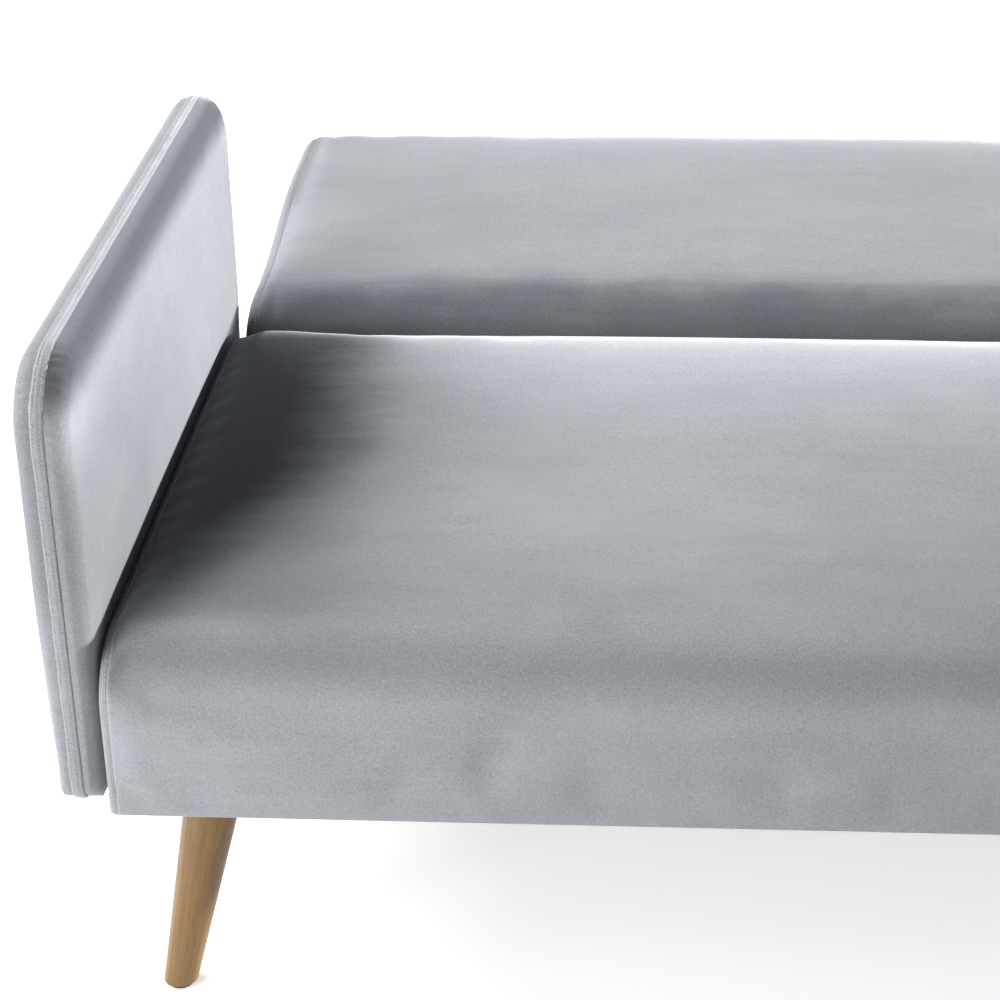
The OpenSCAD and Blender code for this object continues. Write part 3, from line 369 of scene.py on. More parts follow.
# %% [markdown]
# The legs are turned from a hard wood, stained golden brown and sealed. Each leans its own way,
# so each has a copy of the finish whose grain runs along it. The frame inside is plain pine and
# plywood, with the grain along X for the long rails and along Y for the short ones and slats.

# %% Wood finishes
LEAN = sin(radians(16)) / sqrt(2)
legs = {}
for name, sx, sy in (("leg_front_left", 1, 1), ("leg_front_right", -1, 1),
                     ("leg_rear_left", 1, -1), ("leg_rear_right", -1, -1)):
    legs[name] = wood_finish("stained_" + name, (sx * LEAN, sy * LEAN, cos(radians(16))),
                             (0.3 * sx, 0.2 * sy, 0.1), (0.175, 0.092, 0.022),
                             (0.275, 0.152, 0.040), 0.42, 0.12)
pine_x = wood_finish("pine_along_x", (1, 0, 0), (0, 0.1, 0), (0.42, 0.28, 0.14),
                     (0.68, 0.50, 0.29), 0.6)
pine_y = wood_finish("pine_along_y", (0, 1, 0), (0.2, 0, 0), (0.40, 0.27, 0.14),
                     (0.66, 0.49, 0.29), 0.6)
print("wood finishes", len(legs) + 2)

# %% [markdown]
# Zinc plate on steel shows faint crystals and small changes of shine. Powder paint has a slight
# orange peel. Rubber is dull and a little dusty. The thin cloth under the bed is pressed from
# fibres, with a fine dimple pattern and no threads.

# %% Metal, rubber and dust cloth finishes
zinc, tree, shader = start_finish("zinc_plate", Metallic=0.95)
spangle = add_node(tree, 'ShaderNodeTexVoronoi')
spangle.inputs['Scale'].default_value = 420
tree.links.new(object_place(tree), spangle.inputs['Vector'])
cloud = stretched_noise(tree, object_place(tree), (1, 1, 1), 40, 4)
mixed = add_math(tree, 'ADD', add_math(tree, 'MULTIPLY', spangle.outputs['Distance'], 0.5),
                 add_math(tree, 'MULTIPLY', cloud, 0.7))
two_tone(tree, shader, mixed, (0.40, 0.41, 0.42), (0.66, 0.67, 0.68))
wear_range(tree, shader, mixed, 0.26, 0.5)
bump_by(tree, shader, cloud, 0.0001, 0.4)

paint, tree, shader = start_finish("black_powder_paint", Specular_IOR_Level=0.5)
peel = stretched_noise(tree, object_place(tree), (1, 1, 1), 700, 2)
rub = stretched_noise(tree, object_place(tree), (1, 1, 1), 30, 4)
two_tone(tree, shader, rub, (0.014, 0.014, 0.015), (0.030, 0.030, 0.032))
wear_range(tree, shader, rub, 0.34, 0.52)
bump_by(tree, shader, peel, 0.0002, 0.5)

rubber, tree, shader = start_finish("black_rubber")
dust = stretched_noise(tree, object_place(tree), (1, 1, 1), 120, 5)
two_tone(tree, shader, dust, (0.016, 0.016, 0.017), (0.055, 0.054, 0.052))
wear_range(tree, shader, dust, 0.7, 0.9)
bump_by(tree, shader, dust, 0.0003, 0.4)

pressed, tree, shader = start_finish("dust_cloth_black", Sheen_Weight=0.15)
dimples = add_node(tree, 'ShaderNodeTexVoronoi')
dimples.inputs['Scale'].default_value = 650
tree.links.new(object_place(tree), dimples.inputs['Vector'])
fibres = stretched_noise(tree, object_place(tree), (1, 1, 1), 260, 5, 0.65)
two_tone(tree, shader, fibres, (0.018, 0.019, 0.021), (0.052, 0.053, 0.057))
wear_range(tree, shader, fibres, 0.75, 0.95)
bump_by(tree, shader, dimples.outputs['Distance'], 0.0003, 0.5)
print("steel, paint, rubber and dust cloth ready")

# %% Finishes on the plain pieces
by_slot = {"zinc_steel": zinc, "black_tube": paint, "rubber": rubber, "dust_cloth": pressed,
           "velvet": velvet, "foam": pressed, "felt": pressed, "frame_wood": pine_x}
short_runs = ("left_rail", "right_rail", "cross_rails", "slats", "arm_board")
for row in frame["record"]["subparts"]:
    name, slot_name = row["node"], row["material_slot"]
    finish = legs[name] if name in legs else by_slot[slot_name]
    if slot_name == "frame_wood" and any(word in name for word in short_runs):
        finish = pine_y
    for material_slot in nodes[name].material_slots:
        material_slot.material = finish

# %% [markdown]
# The seat and the back are long blocks with the same profile all along, so each starts as a
# profile: a few straight runs and arcs, made by extruding and spinning a single vertex.

# %% Helpers to draw a profile
def run_to(bm, vertex, target, steps):
    start = vertex.co.copy()
    for i in range(1, steps + 1):
        made = bmesh.ops.extrude_vert_indiv(bm, verts=[vertex])
        vertex = made['verts'][0]
        vertex.co = start.lerp(Vector(target), i / steps)
    return vertex


def arc_by(bm, vertex, centre, angle, steps, axis=(1, 0, 0)):
    made = bmesh.ops.spin(bm, geom=[vertex], cent=centre, axis=axis, angle=angle, steps=steps,
                          use_merge=False)
    return next(v for v in made['geom_last'] if isinstance(v, bmesh.types.BMVert))


def extrude_along(bm, edges, steps, length):
    for _ in range(steps):
        made = bmesh.ops.extrude_edge_only(bm, edges=edges)
        verts = [g for g in made['geom'] if isinstance(g, bmesh.types.BMVert)]
        edges = [g for g in made['geom'] if isinstance(g, bmesh.types.BMEdge) and g.is_boundary]
        bmesh.ops.translate(bm, verts=verts, vec=(length / steps, 0, 0))
    return edges


def ring_face(bm, face, rings):
    away = Matrix.Translation(-face.calc_center_bounds())
    for i in range(rings, 0, -1):
        bmesh.ops.inset_region(bm, faces=[face], thickness=0.00001, depth=0)
        share = (i - 0.5) / (i + 0.5)
        bmesh.ops.scale(bm, verts=face.verts, vec=(1, share, share), space=away)
    bmesh.ops.poke(bm, faces=[face])


def cap_with_rings(bm, rings):
    border = [e for e in bm.edges if e.is_boundary]
    for face in bmesh.ops.holes_fill(bm, edges=border)['faces']:
        ring_face(bm, face, rings)


def finish_mesh(bm, name, material, smooth=True):
    mesh = bpy.data.meshes.new(name)
    bmesh.ops.recalc_face_normals(bm, faces=bm.faces)
    bm.to_mesh(mesh)
    bm.free()
    piece = bpy.data.objects.new(name, mesh)
    bpy.context.scene.collection.objects.link(piece)
    mesh.materials.append(material)
    if smooth:
        mesh.shade_smooth()
    return piece


# %% [markdown]
# The finished profile is drawn along the bed. After that its ends are drawn in and the top is
# crowned: a vertex near an end moves inwards by what a round corner takes off there, and the
# top falls away towards all four edges, as foam does under a tight cover. The back grows a
# little wider past the arms, where nothing presses on its ends.

# %% Block shape
def corner_loss(radius, distance):
    gone = radius - max(distance, 0)
    return 0 if gone <= 0 else radius - sqrt(radius ** 2 - gone ** 2)


def block_profile(bm, x, low, high, front_r, rear_r, tuck_r=0.006):
    y0, y1, z0, z1 = low.y, high.y, low.z, high.z
    v = bm.verts.new((x, y0 + tuck_r, z0))
    v = arc_by(bm, v, (x, y0 + tuck_r, z0 + tuck_r), -pi / 2, 3)
    v = run_to(bm, v, (x, y0, z1 - front_r), 8)
    v = arc_by(bm, v, (x, y0 + front_r, z1 - front_r), -pi / 2, 9)
    v = run_to(bm, v, (x, y1 - rear_r, z1), 36)
    v = arc_by(bm, v, (x, y1 - rear_r, z1 - rear_r), -pi / 2, 6)
    v = run_to(bm, v, (x, y1, z0 + tuck_r), 8)
    v = arc_by(bm, v, (x, y1 - tuck_r, z0 + tuck_r), -pi / 2, 3)
    run_to(bm, v, (x, y0 + tuck_r, z0), 36)
    bmesh.ops.remove_doubles(bm, verts=bm.verts, dist=0.0001)
    return list(bm.edges)


class Block:
    def __init__(self, low, high, half, front_r, rear_r, corners, end_r, crown, droop, flare,
                 seam_in):
        self.low, self.high, self.half = low, high, half
        self.front_r, self.rear_r = front_r, rear_r
        self.corners, self.end_r, self.crown, self.droop = corners, end_r, crown, droop
        self.flare, self.seam_in = flare, seam_in

    def flared(self, x, y):
        t = min(max((y - 0.12) / 0.33, 0), 1)
        return x + copysign(self.flare, x) * (abs(x) / self.half) ** 8 * t * t * (3 - 2 * t)

    def shaped(self, point):
        x, y, z = point
        y0, y1, z0, z1 = self.low.y, self.high.y, self.low.z, self.high.z
        gone = self.half - abs(x)
        front, rear = (corner_loss(r, gone) for r in self.corners)
        along = min(max((y - y0 - self.front_r) / (y1 - self.rear_r - y0 - self.front_r), 0), 1)
        rise = (z - z0) / (z1 - z0)
        y += front * (1 - along) - rear * along
        across = 1 - (abs(x) / self.half) ** 8
        middle = 1 - abs((2 * y - y0 - y1) / (y1 - y0)) ** 4
        z -= rise * (corner_loss(self.end_r, gone)
                     + self.crown * (1 - across * max(middle, 0)))
        z -= rise * self.droop * max(0, 1 - gone / 0.24) ** 2
        return Vector((self.flared(x, y), y, z))

    def mesh(self):
        bm = bmesh.new()
        edges = block_profile(bm, -self.half, self.low, self.high, self.front_r, self.rear_r)
        for length, steps in ((0.014, 10), (0.026, 5), (2 * self.half - 0.08, 110),
                              (0.026, 5), (0.014, 10)):
            edges = extrude_along(bm, edges, steps, length)
        for v in bm.verts:
            v.co = self.shaped(v.co)
        cap_with_rings(bm, 5)
        for v in bm.verts:
            if v.co.z < self.low.z + 0.0005:
                edge = min(v.co.y - self.low.y - 0.029, self.high.y - v.co.y - 0.029,
                           self.half - abs(v.co.x) - 0.020)
                v.co.z += 0.0025 * min(max(edge / 0.006, 0), 1)
        return bm

    def seam_path(self, x):
        bm = bmesh.new()
        block_profile(bm, x, self.low, self.high, self.front_r, self.rear_r)
        points = [self.shaped(p) for p in walk(bm)]
        bm.free()
        keep = [p for p in points if p.z > self.low.z + 0.004]
        start = max(range(len(keep)), key=lambda i: (keep[i] - keep[i - 1]).length)
        return keep[start:] + keep[:start]


def walk(bm):
    bm.verts.ensure_lookup_table()
    first = bm.verts[0]
    points, edge = [first.co.copy()], first.link_edges[0]
    here = edge.other_vert(first)
    while here is not first:
        points.append(here.co.copy())
        edge = next(e for e in here.link_edges if e is not edge)
        here = edge.other_vert(here)
    return points


seat_block = Block(seat_low, Vector((0, seat_high.y, seat_high.z)), SEAT_HALF, 0.052, 0.020,
                   (0.008, 0.040), 0.010, 0.014, 0.0, 0.0, 0.0070)
back_block = Block(back_low, Vector((0, back_high.y, back_high.z)), BACK_HALF, 0.062, 0.026,
                   (0.014, 0.016), 0.016, 0.006, 0.006, 0.013, 0.0112)
print("seam path points", len(seat_block.seam_path(0.8)), len(back_block.seam_path(0.8)))


# %% [markdown]
# A stuffed cover is tight where it is sewn or stapled and swells between. The cloth simulation
# does that: the sewn vertices are held, an even pressure stands for the foam, gravity is off,
# and no point may move further than the foam could push it.

# %% Stuffing
def sew(piece, held):
    group = piece.vertex_groups.new(name="sewn")
    group.add([v.index for v in piece.data.vertices if held(v.co)], 1.0, 'REPLACE')
    return group


def stuff(piece, pressure, grow, cap, frames=20):
    scene = bpy.context.scene
    cloth = piece.modifiers.new("stuffing", 'CLOTH')
    cloth.settings.quality = 6
    cloth.settings.mass = 0.25
    cloth.settings.tension_stiffness = cloth.settings.compression_stiffness = 25
    cloth.settings.shear_stiffness = 12
    cloth.settings.bending_stiffness = 1.5
    cloth.settings.shrink_min = -grow
    cloth.settings.use_pressure = True
    cloth.settings.uniform_pressure_force = pressure
    cloth.settings.effector_weights.gravity = 0
    cloth.settings.vertex_group_mass = "sewn"
    cloth.settings.pin_stiffness = 1
    cloth.collision_settings.use_collision = False
    cloth.point_cache.frame_start, cloth.point_cache.frame_end = 1, frames
    for number in range(1, frames + 1):
        scene.frame_set(number)
    moved = piece.evaluated_get(bpy.context.evaluated_depsgraph_get())
    targets = [v.co.copy() for v in moved.data.vertices]
    piece.modifiers.remove(cloth)
    furthest = 0
    for vertex, target in zip(piece.data.vertices, targets):
        move = target - vertex.co
        limit = cap(vertex.co)
        if move.length > limit:
            move *= limit / move.length
        furthest = max(furthest, move.length)
        vertex.co += move
    scene.frame_set(1)
    print(piece.name, "moved by up to", round(furthest * 1000, 1), "mm")


# %% [markdown]
# Around each hinge the cover is cut away so that the steel can turn. The cut is made by slicing
# the end of the block along the edges of the opening and pressing what is inside it back to the
# frame. Two slices close together keep the edge crisp. A seam is drawn in the same way: the ring
# of vertices under the stitches sinks a little along its normals.

# %% Hinge openings and seams
def press_in(bm, floor_x, y_range, z_top):
    y0, y1 = y_range
    for point, normal in (((0, y0, 0), (0, -1, 0)), ((0, y1, 0), (0, 1, 0)),
                          ((0, 0, z_top), (0, 0, 1))):
        for gap in (0.0, 0.0015):
            near = [f for f in bm.faces if abs(f.calc_center_median().x) > 0.84
                    and y0 - 0.04 < f.calc_center_median().y < y1 + 0.04
                    and f.calc_center_median().z < z_top + 0.04]
            edges = list({e for f in near for e in f.edges})
            verts = list({v for f in near for v in f.verts})
            bmesh.ops.bisect_plane(bm, geom=near + edges + verts, dist=0.00001,
                                   plane_co=Vector(point) + gap * Vector(normal),
                                   plane_no=normal)
    for v in bm.verts:
        inside = y0 - 0.0001 < v.co.y < y1 + 0.0001 and v.co.z < z_top + 0.0001
        if inside and abs(v.co.x) > floor_x:
            v.co.x = copysign(floor_x, v.co.x)
    bmesh.ops.dissolve_degenerate(bm, dist=0.00005, edges=bm.edges)


def sink_seam(bm, block, width, depth, z_min):
    bm.normal_update()
    moves = []
    for v in bm.verts:
        off = (abs(v.co.x) - block.flared(block.half - block.seam_in, v.co.y)) / width
        if abs(off) < 2 and v.co.z > z_min:
            moves.append((v, v.normal * depth * exp(-2 * off * off)))
    for v, move in moves:
        v.co -= move


def add_levels(piece, levels=1):
    smooth = piece.modifiers.new("finer", 'SUBSURF')
    smooth.levels = smooth.render_levels = levels
    return smooth


# %% Seat and back
def upholster(name, block, body, finish, opening, pressure, cap):
    piece = finish_mesh(block.mesh(), name, finish)
    seam_x = block.half - block.seam_in
    sew(piece, lambda co: co.z < block.low.z + 0.01 or abs(co.x) > seam_x - 0.001)
    stuff(piece, pressure, 0.006, cap)
    bm = bmesh.new()
    bm.from_mesh(piece.data)
    sink_seam(bm, block, 0.0022, 0.0014, block.low.z + 0.004)
    press_in(bm, *opening)
    bm.to_mesh(piece.data)
    bm.free()
    piece.data.shade_smooth()
    add_levels(piece)
    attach(piece, body)
    return piece


seat = upholster("seat_upholstery", seat_block, "base", velvet_seat,
                 (0.871, (-0.030, 0.060), 0.224), 4, lambda co: 0.005)
back = upholster("back_upholstery", back_block, "back", velvet_back,
                 (0.8737, (0.0, 0.116), 0.303), 4, lambda co: 0.004)
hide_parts("seat_cover", "seat_side_panels", "seat_foam", "seat_edge_pads", "seat_felt")
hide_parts("back_cover", "back_side_panels", "back_foam", "back_end_pads", "back_felt")
print("seat", len(seat.data.vertices), "back", len(back.data.vertices))


# %% [markdown]
# An arm is a padded board. Its outline is the same kind of profile, with large round corners
# above and small ones below. The flat shape is given its thickness, its rims are rounded, and a
# voxel remesh makes an even mesh of it for the stuffing.

# %% Arms
ARM_EDGE = 0.0172
ARM_BASE_EDGE = 0.004
ARM_TOP_R, ARM_BOTTOM_R = 0.056, 0.018


def arm_outline(bm, x, inset, fine=1):
    y0, y1 = inner_low.y + inset, inner_high.y - inset
    z0, z1 = inner_low.z + inset, inner_high.z - inset
    rt, rb = ARM_TOP_R - inset, ARM_BOTTOM_R - inset
    v = bm.verts.new((x, y0 + rb, z0))
    v = arc_by(bm, v, (x, y0 + rb, z0 + rb), -pi / 2, 5 * fine)
    v = run_to(bm, v, (x, y0, z1 - rt), 24 * fine)
    v = arc_by(bm, v, (x, y0 + rt, z1 - rt), -pi / 2, 12 * fine)
    v = run_to(bm, v, (x, y1 - rt, z1), 42 * fine)
    v = arc_by(bm, v, (x, y1 - rt, z1 - rt), -pi / 2, 12 * fine)
    v = run_to(bm, v, (x, y1, z0 + rb), 24 * fine)
    v = arc_by(bm, v, (x, y1 - rb, z0 + rb), -pi / 2, 5 * fine)
    run_to(bm, v, (x, y0 + rb, z0), 44 * fine)
    bmesh.ops.remove_doubles(bm, verts=bm.verts, dist=0.0001)
    return list(bm.edges)


def mirror_to_left(bm):
    bmesh.ops.scale(bm, verts=bm.verts, vec=(-1, 1, 1))
    bmesh.ops.reverse_faces(bm, faces=bm.faces)


def arm_mesh():
    bm = bmesh.new()
    edges = arm_outline(bm, inner_low.x, 0)
    extrude_along(bm, edges, 1, ARM_T)
    rims = [e for e in bm.edges if e.is_boundary]
    bmesh.ops.holes_fill(bm, edges=rims)
    bmesh.ops.bevel(bm, geom=rims, offset=ARM_EDGE, offset_type='OFFSET', segments=8,
                    affect='EDGES', profile=0.5, material=-1, clamp_overlap=True)
    for v in bm.verts:
        up = v.co.z - inner_low.z
        off = v.co.x - ARM_MIDDLE
        if up < ARM_EDGE and abs(off) > ARM_T / 2 - ARM_EDGE - 0.0001:
            ends = min(v.co.y - inner_low.y, inner_high.y - v.co.y)
            loss = max(corner_loss(ARM_BASE_EDGE, up), corner_loss(ARM_EDGE, ends))
            v.co.x = ARM_MIDDLE + copysign(ARM_T / 2 - loss, off)
        slim = 1 - 0.18 * min(max((0.36 - v.co.z) / 0.16, 0), 1)
        v.co.x = ARM_MIDDLE + (v.co.x - ARM_MIDDLE) * slim
    return bm


def remesh(piece, voxel):
    modifier = piece.modifiers.new("even", 'REMESH')
    modifier.mode = 'VOXEL'
    modifier.voxel_size = voxel
    made = piece.evaluated_get(bpy.context.evaluated_depsgraph_get())
    mesh = bpy.data.meshes.new_from_object(made)
    piece.modifiers.remove(modifier)
    piece.data = mesh


def outline_side(co):
    """How far a point is inside the arm's outline, and its angle round the nearest corner."""
    y0, y1, z0, z1 = inner_low.y, inner_high.y, inner_low.z, inner_high.z
    r = ARM_TOP_R
    corner_y = y0 + r if co.y < y0 + r else y1 - r if co.y > y1 - r else None
    if corner_y is not None and co.z > z1 - r:
        dy, dz = co.y - corner_y, co.z - (z1 - r)
        return r - sqrt(dy * dy + dz * dz), atan2(dz, abs(dy))
    return min(co.y - y0, y1 - co.y, co.z - z0, z1 - co.z), None


def pull_wrinkles(bm):
    """Small puckers beside the strip at the round corners, where the cover is gathered."""
    bm.normal_update()
    moves = []
    for v in bm.verts:
        depth, angle = outline_side(v.co)
        side = abs(abs(v.co.x) - ARM_MIDDLE)
        valley = 0.0003 * exp(-((side - 0.0045) / 0.0016) ** 2) if depth < 0.006 else 0
        pucker = 0
        if angle is not None and depth < 0.022:
            reach = max(0, 1 - abs(side - 0.009) / 0.012)
            around = max(0, 1 - abs(angle - pi / 4) / (pi / 4))
            beat = noise.noise(Vector((angle * 7, side * 60, copysign(3, v.co.x) + v.co.y)))
            pucker = 0.0016 * reach * around * (sin(angle * 34 + 5 * beat) * 0.6 + beat)
        moves.append((v, v.normal * (pucker - valley)))
    for v, move in moves:
        v.co += move


def arm_cap(co):
    """The rims hardly move. The faces may swell, the outer one more than the inner one."""
    most = 0.0012 if abs(co.x) < ARM_MIDDLE - 0.008 else 0.003
    return 0.0003 + (most - 0.0003) * min(max(outline_side(co)[0] / 0.035, 0), 1)


def arm(name, side):
    bm = arm_mesh()
    if side < 0:
        mirror_to_left(bm)
    piece = finish_mesh(bm, name, velvet_arm)
    remesh(piece, 0.0055)
    sew(piece, lambda co: outline_side(co)[0] < 0.004 and abs(abs(co.x) - ARM_MIDDLE) < 0.004)
    stuff(piece, 4, 0.006, arm_cap)
    bm = bmesh.new()
    bm.from_mesh(piece.data)
    bmesh.ops.subdivide_edges(bm, edges=[e for e in bm.edges
                                         if outline_side(e.verts[0].co)[0] < 0.02],
                              cuts=1, use_grid_fill=True, smooth=0.0)
    pull_wrinkles(bm)
    bm.to_mesh(piece.data)
    bm.free()
    piece.data.shade_smooth()
    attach(piece, "base")
    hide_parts("arm_inner_cover_" + name.split("_")[-1],
                "arm_outer_cover_" + name.split("_")[-1], "arm_foam_" + name.split("_")[-1])
    return piece


arms = {side: arm("arm_upholstery_" + side, sign) for side, sign in (("left", -1), ("right", 1))}
for piece in arms.values():
    print(piece.name, len(piece.data.vertices), "vertices")


# %% [markdown]
# A narrow strip of the same velvet is sewn over the join of the two covers, all round the arm,
# with a row of small stitches along each side. Its section is a low crowned band, so rings of
# the outline at different insets are bridged into a closed loop.

# %% Strips
def strip_mesh(sign):
    bm = bmesh.new()
    loops = []
    for off, inset in ((-0.0050, 0.0009), (-0.0040, 0.0000), (-0.0031, -0.0005),
                       (-0.0027, -0.0003), (-0.0023, -0.0003), (-0.0018, -0.0006),
                       (0.0, -0.0007), (0.0018, -0.0006), (0.0023, -0.0003), (0.0027, -0.0003),
                       (0.0031, -0.0005), (0.0040, 0.0000), (0.0050, 0.0009), (0.002, 0.0020),
                       (-0.002, 0.0020)):
        ring = bmesh.new()
        arm_outline(ring, ARM_MIDDLE + off, inset, 2)
        points = walk(ring)
        ring.free()
        verts = [bm.verts.new(p) for p in points]
        loops.append([bm.edges.new((a, b)) for a, b in zip(verts, verts[1:] + verts[:1])])
    for first, second in zip(loops, loops[1:] + loops[:1]):
        bmesh.ops.bridge_loops(bm, edges=first + second)
    bm.normal_update()
    for v in bm.verts:
        ripple = noise.noise(v.co * 140) * 0.00035 + noise.noise(v.co * 55) * 0.0004
        v.co += Vector((0.5 * ripple, 0, 0)) + v.normal * ripple
        v.co.z = max(v.co.z, inner_low.z - 0.0003)
    if sign < 0:
        mirror_to_left(bm)
    return bm


strips = {}
for side, sign in (("left", -1), ("right", 1)):
    piece = finish_mesh(strip_mesh(sign), "arm_strip_" + side, velvet)
    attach(piece, "base")
    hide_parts("arm_edge_strips")
    strips[side] = piece
print("strip vertices", len(strips["left"].data.vertices))


# %% [markdown]
# Stitches are small bars of thread, laid one after another along a seam. Each has only a few
# dozen faces, because there are thousands. A row follows the same path as the seam under it.

# %% Stitches
def spots_along(points, pitch, closed):
    spots, carried = [], pitch / 2
    for a, b in zip(points, points[1:] + (points[:1] if closed else [])):
        length = (b - a).length
        while carried < length:
            spots.append((a.lerp(b, carried / length), (b - a).normalized()))
            carried += pitch
        carried -= length
    return spots


def one_stitch(length, thick):
    bm = bmesh.new()
    bmesh.ops.create_uvsphere(bm, u_segments=6, v_segments=4, radius=1)
    bmesh.ops.scale(bm, verts=bm.verts, vec=(thick / 2, thick / 2, length / 2))
    mesh = bpy.data.meshes.new("one_stitch")
    bm.to_mesh(mesh)
    bm.free()
    return mesh


def add_stitches(bm, points, pitch, length, thick, closed=False):
    stitch = one_stitch(length, thick)
    for place, way in spots_along(points, pitch, closed):
        there = Matrix.Translation(place) @ way.to_track_quat('Z', 'X').to_matrix().to_4x4()
        stitch.transform(there)
        bm.from_mesh(stitch)
        stitch.transform(there.inverted())
    bpy.data.meshes.remove(stitch)


def stitch_piece(name, rows, body, **sizes):
    bm = bmesh.new()
    for points, closed in rows:
        add_stitches(bm, points, closed=closed, **sizes)
    piece = finish_mesh(bm, name, thread)
    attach(piece, body)
    print(name, len(piece.data.polygons), "faces")
    return piece


def arm_row(x, inset):
    ring = bmesh.new()
    arm_outline(ring, x, inset, 2)
    points = walk(ring)
    ring.free()
    return points


for side, sign in (("left", -1), ("right", 1)):
    rows = [(arm_row(sign * (ARM_MIDDLE + off), -0.0004), True) for off in (-0.0025, 0.0025)]
    stitch_piece("arm_stitches_" + side, rows, "base", pitch=0.0034, length=0.0022,
                 thick=0.0008)
for name, block, body in (("seat", seat_block, "base"), ("back", back_block, "back")):
    rows = []
    for sign in (-1, 1):
        path = block.seam_path(sign * (block.half - block.seam_in))
        middle = Vector((path[0].x, (block.low.y + block.high.y) / 2, block.low.z + 0.08))
        rows.append(([p + (middle - p).normalized() * 0.0008 for p in path], False))
    stitch_piece(name + "_stitches", rows, body, pitch=0.0036, length=0.0024, thick=0.0009)


# %% [markdown]
# A thin black cloth closes the underside of the seat and of the back. It is stretched and
# stapled to the rails; its sag between them is given as zero here, so it lies flat. It is cut out
# around the plates of the legs.

# %% Dust cloths
def dust_cloth(name, node, body, holes, sag):
    low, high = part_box(node)
    bm = bmesh.new()
    bmesh.ops.create_grid(bm, x_segments=80, y_segments=26, size=0.5)
    bmesh.ops.scale(bm, verts=bm.verts, vec=(high.x - low.x, high.y - low.y, 1))
    bmesh.ops.translate(bm, verts=bm.verts,
                        vec=((low.x + high.x) / 2, (low.y + high.y) / 2, high.z - 0.0004))
    for x, y, half in holes:
        for point, normal in (((x - half, 0, 0), (1, 0, 0)), ((x + half, 0, 0), (1, 0, 0)),
                              ((0, y - half, 0), (0, 1, 0)), ((0, y + half, 0), (0, 1, 0))):
            bmesh.ops.bisect_plane(bm, geom=bm.verts[:] + bm.edges[:] + bm.faces[:],
                                   dist=0.00001, plane_co=point, plane_no=normal)
        inside = [f for f in bm.faces if abs(f.calc_center_median().x - x) < half
                  and abs(f.calc_center_median().y - y) < half]
        bmesh.ops.delete(bm, geom=inside, context='FACES')
    for v in bm.verts:
        edge = min(v.co.x - low.x, high.x - v.co.x, v.co.y - low.y, high.y - v.co.y)
        near = min([sqrt(max(abs(v.co.x - x) - h, 0) ** 2 + max(abs(v.co.y - y) - h, 0) ** 2)
                    for x, y, h in holes] or [1])
        free = min(max(min(edge, near) - 0.02, 0) / 0.09, 1)
        v.co.z -= sag * free * (1 + 0.35 * noise.noise(Vector((v.co.x * 5, v.co.y * 9, 0))))
    piece = finish_mesh(bm, name, pressed)
    thick = piece.modifiers.new("thickness", 'SOLIDIFY')
    thick.thickness, thick.offset = 0.0004, -1
    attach(piece, body)
    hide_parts(node)
    return piece


plate_low, plate_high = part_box("leg_plates")
PLATE_HALF = 0.031
plates = [(sx * (plate_high.x - 0.030), y, PLATE_HALF) for sx in (-1, 1)
          for y in (plate_low.y + 0.030, plate_high.y - 0.030)]
seat_cloth = dust_cloth("seat_under_cloth", "seat_dust_cloth", "base", plates, 0.0)
back_cloth = dust_cloth("back_under_cloth", "back_dust_cloth", "back", [], 0.0)
print("dust cloths", len(seat_cloth.data.polygons), len(back_cloth.data.polygons))


# %% [markdown]
# The light is that of a plain studio: four wide lamps to the left, and a long low one far away to
# the right, like a window, which reaches the inside of the arm and hardly touches the seat. The
# floor is white to the camera and to mirrors, and yet keeps the soft shadow under the bed.

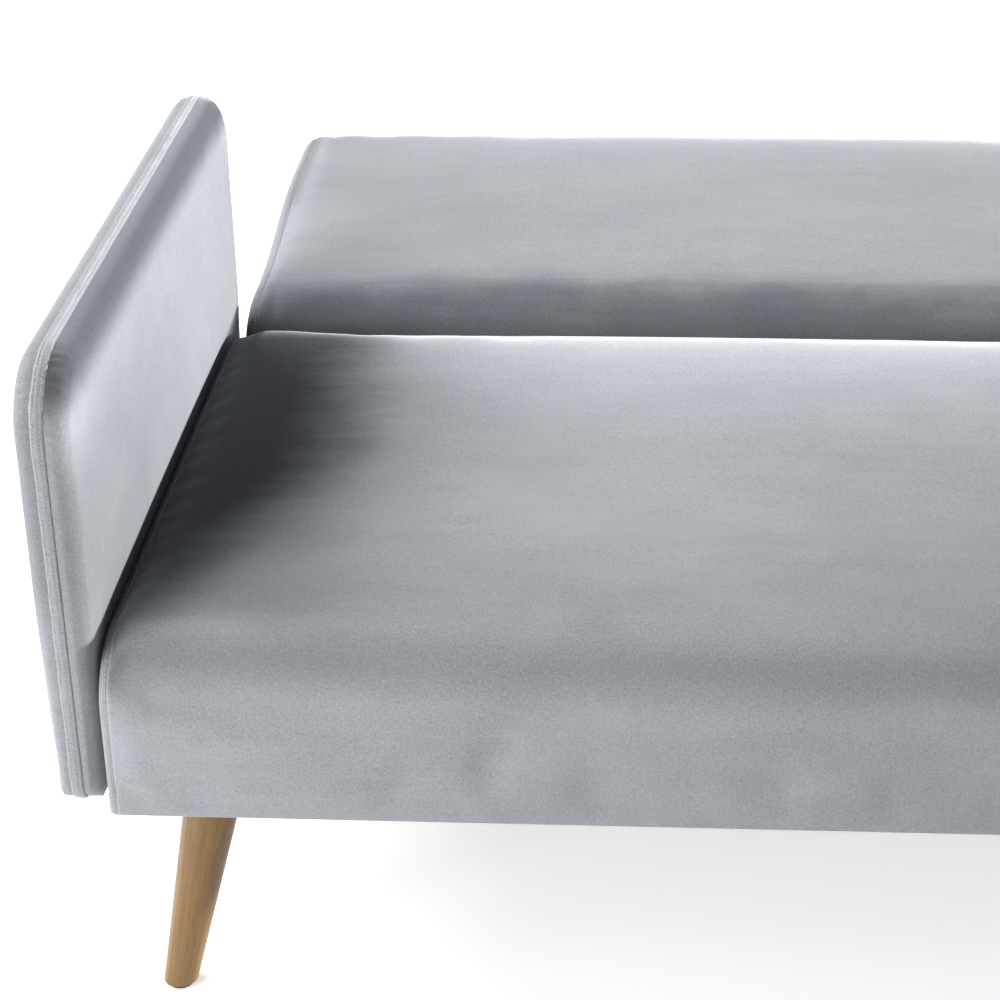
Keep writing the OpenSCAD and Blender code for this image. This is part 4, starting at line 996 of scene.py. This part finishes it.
# %% Lights and floor
world = bpy.data.worlds.new("studio")
bpy.context.scene.world = world
world.use_nodes = True
sky = world.node_tree
background = sky.nodes['Background']
path = sky.nodes.new('ShaderNodeLightPath')
seen = add_math(sky, 'MAXIMUM', path.outputs['Is Camera Ray'],
                add_math(sky, 'MAXIMUM', path.outputs['Is Glossy Ray'],
                         path.outputs['Is Transmission Ray']))
strength = sky.nodes.new('ShaderNodeMapRange')
strength.inputs['To Min'].default_value = 0.03
strength.inputs['To Max'].default_value = 1.0
sky.links.new(seen, strength.inputs['Value'])
sky.links.new(strength.outputs['Result'], background.inputs['Strength'])
background.inputs['Color'].default_value = (1, 1, 1, 1)


def soft_light(name, place, target, size, power):
    data = bpy.data.lights.new(name, 'AREA')
    data.shape = 'RECTANGLE'
    data.size, data.size_y = size
    data.energy = power
    lamp = bpy.data.objects.new(name, data)
    lamp.location = place
    lamp.rotation_euler = (Vector(target) - Vector(place)).to_track_quat('-Z', 'Y').to_euler()
    lamp.visible_camera = False
    bpy.context.scene.collection.objects.link(lamp)
    return lamp


for name, place, power in (("left_front", (-2.46, -1.73, 2.19), 20),
                           ("left_rear", (-2.91, 0.85, 2.19), 92),
                           ("left_high", (-2.26, -0.37, 2.97), 24),
                           ("low_front", (-2.46, -2.45, 1.02), 52)):
    soft_light(name, place, (-0.45, -0.05, 0.35), (1.4, 1.4), power)
soft_light("far_right", (12.1, 5.05, 1.05), (-0.9, -0.2, 0.35), (7.0, 0.3), 3700)

floor_bm = bmesh.new()
bmesh.ops.create_grid(floor_bm, x_segments=8, y_segments=8, size=12)
floor_finish, tree, shader = start_finish("floor_white", Roughness=0.8)
shader.inputs['Base Color'].default_value = (0.9, 0.9, 0.9, 1)
shader.inputs['Emission Color'].default_value = (1, 1, 1, 1)
path = tree.nodes.new('ShaderNodeLightPath')
seen = add_math(tree, 'MAXIMUM', path.outputs['Is Camera Ray'],
                add_math(tree, 'MAXIMUM', path.outputs['Is Glossy Ray'],
                         path.outputs['Is Transmission Ray']))
spots = add_node(tree, 'ShaderNodeVectorMath', operation='LENGTH')
tree.links.new(object_place(tree), spots.inputs[0])
far = add_math(tree, 'MULTIPLY', ramp_down(tree, spots.outputs['Value'], 4.5, 1.6), 0.5)
tree.links.new(add_math(tree, 'MULTIPLY', seen, add_math(tree, 'ADD', far, 0.5)),
               shader.inputs['Emission Strength'])
floor = finish_mesh(floor_bm, "floor", floor_finish, smooth=False)
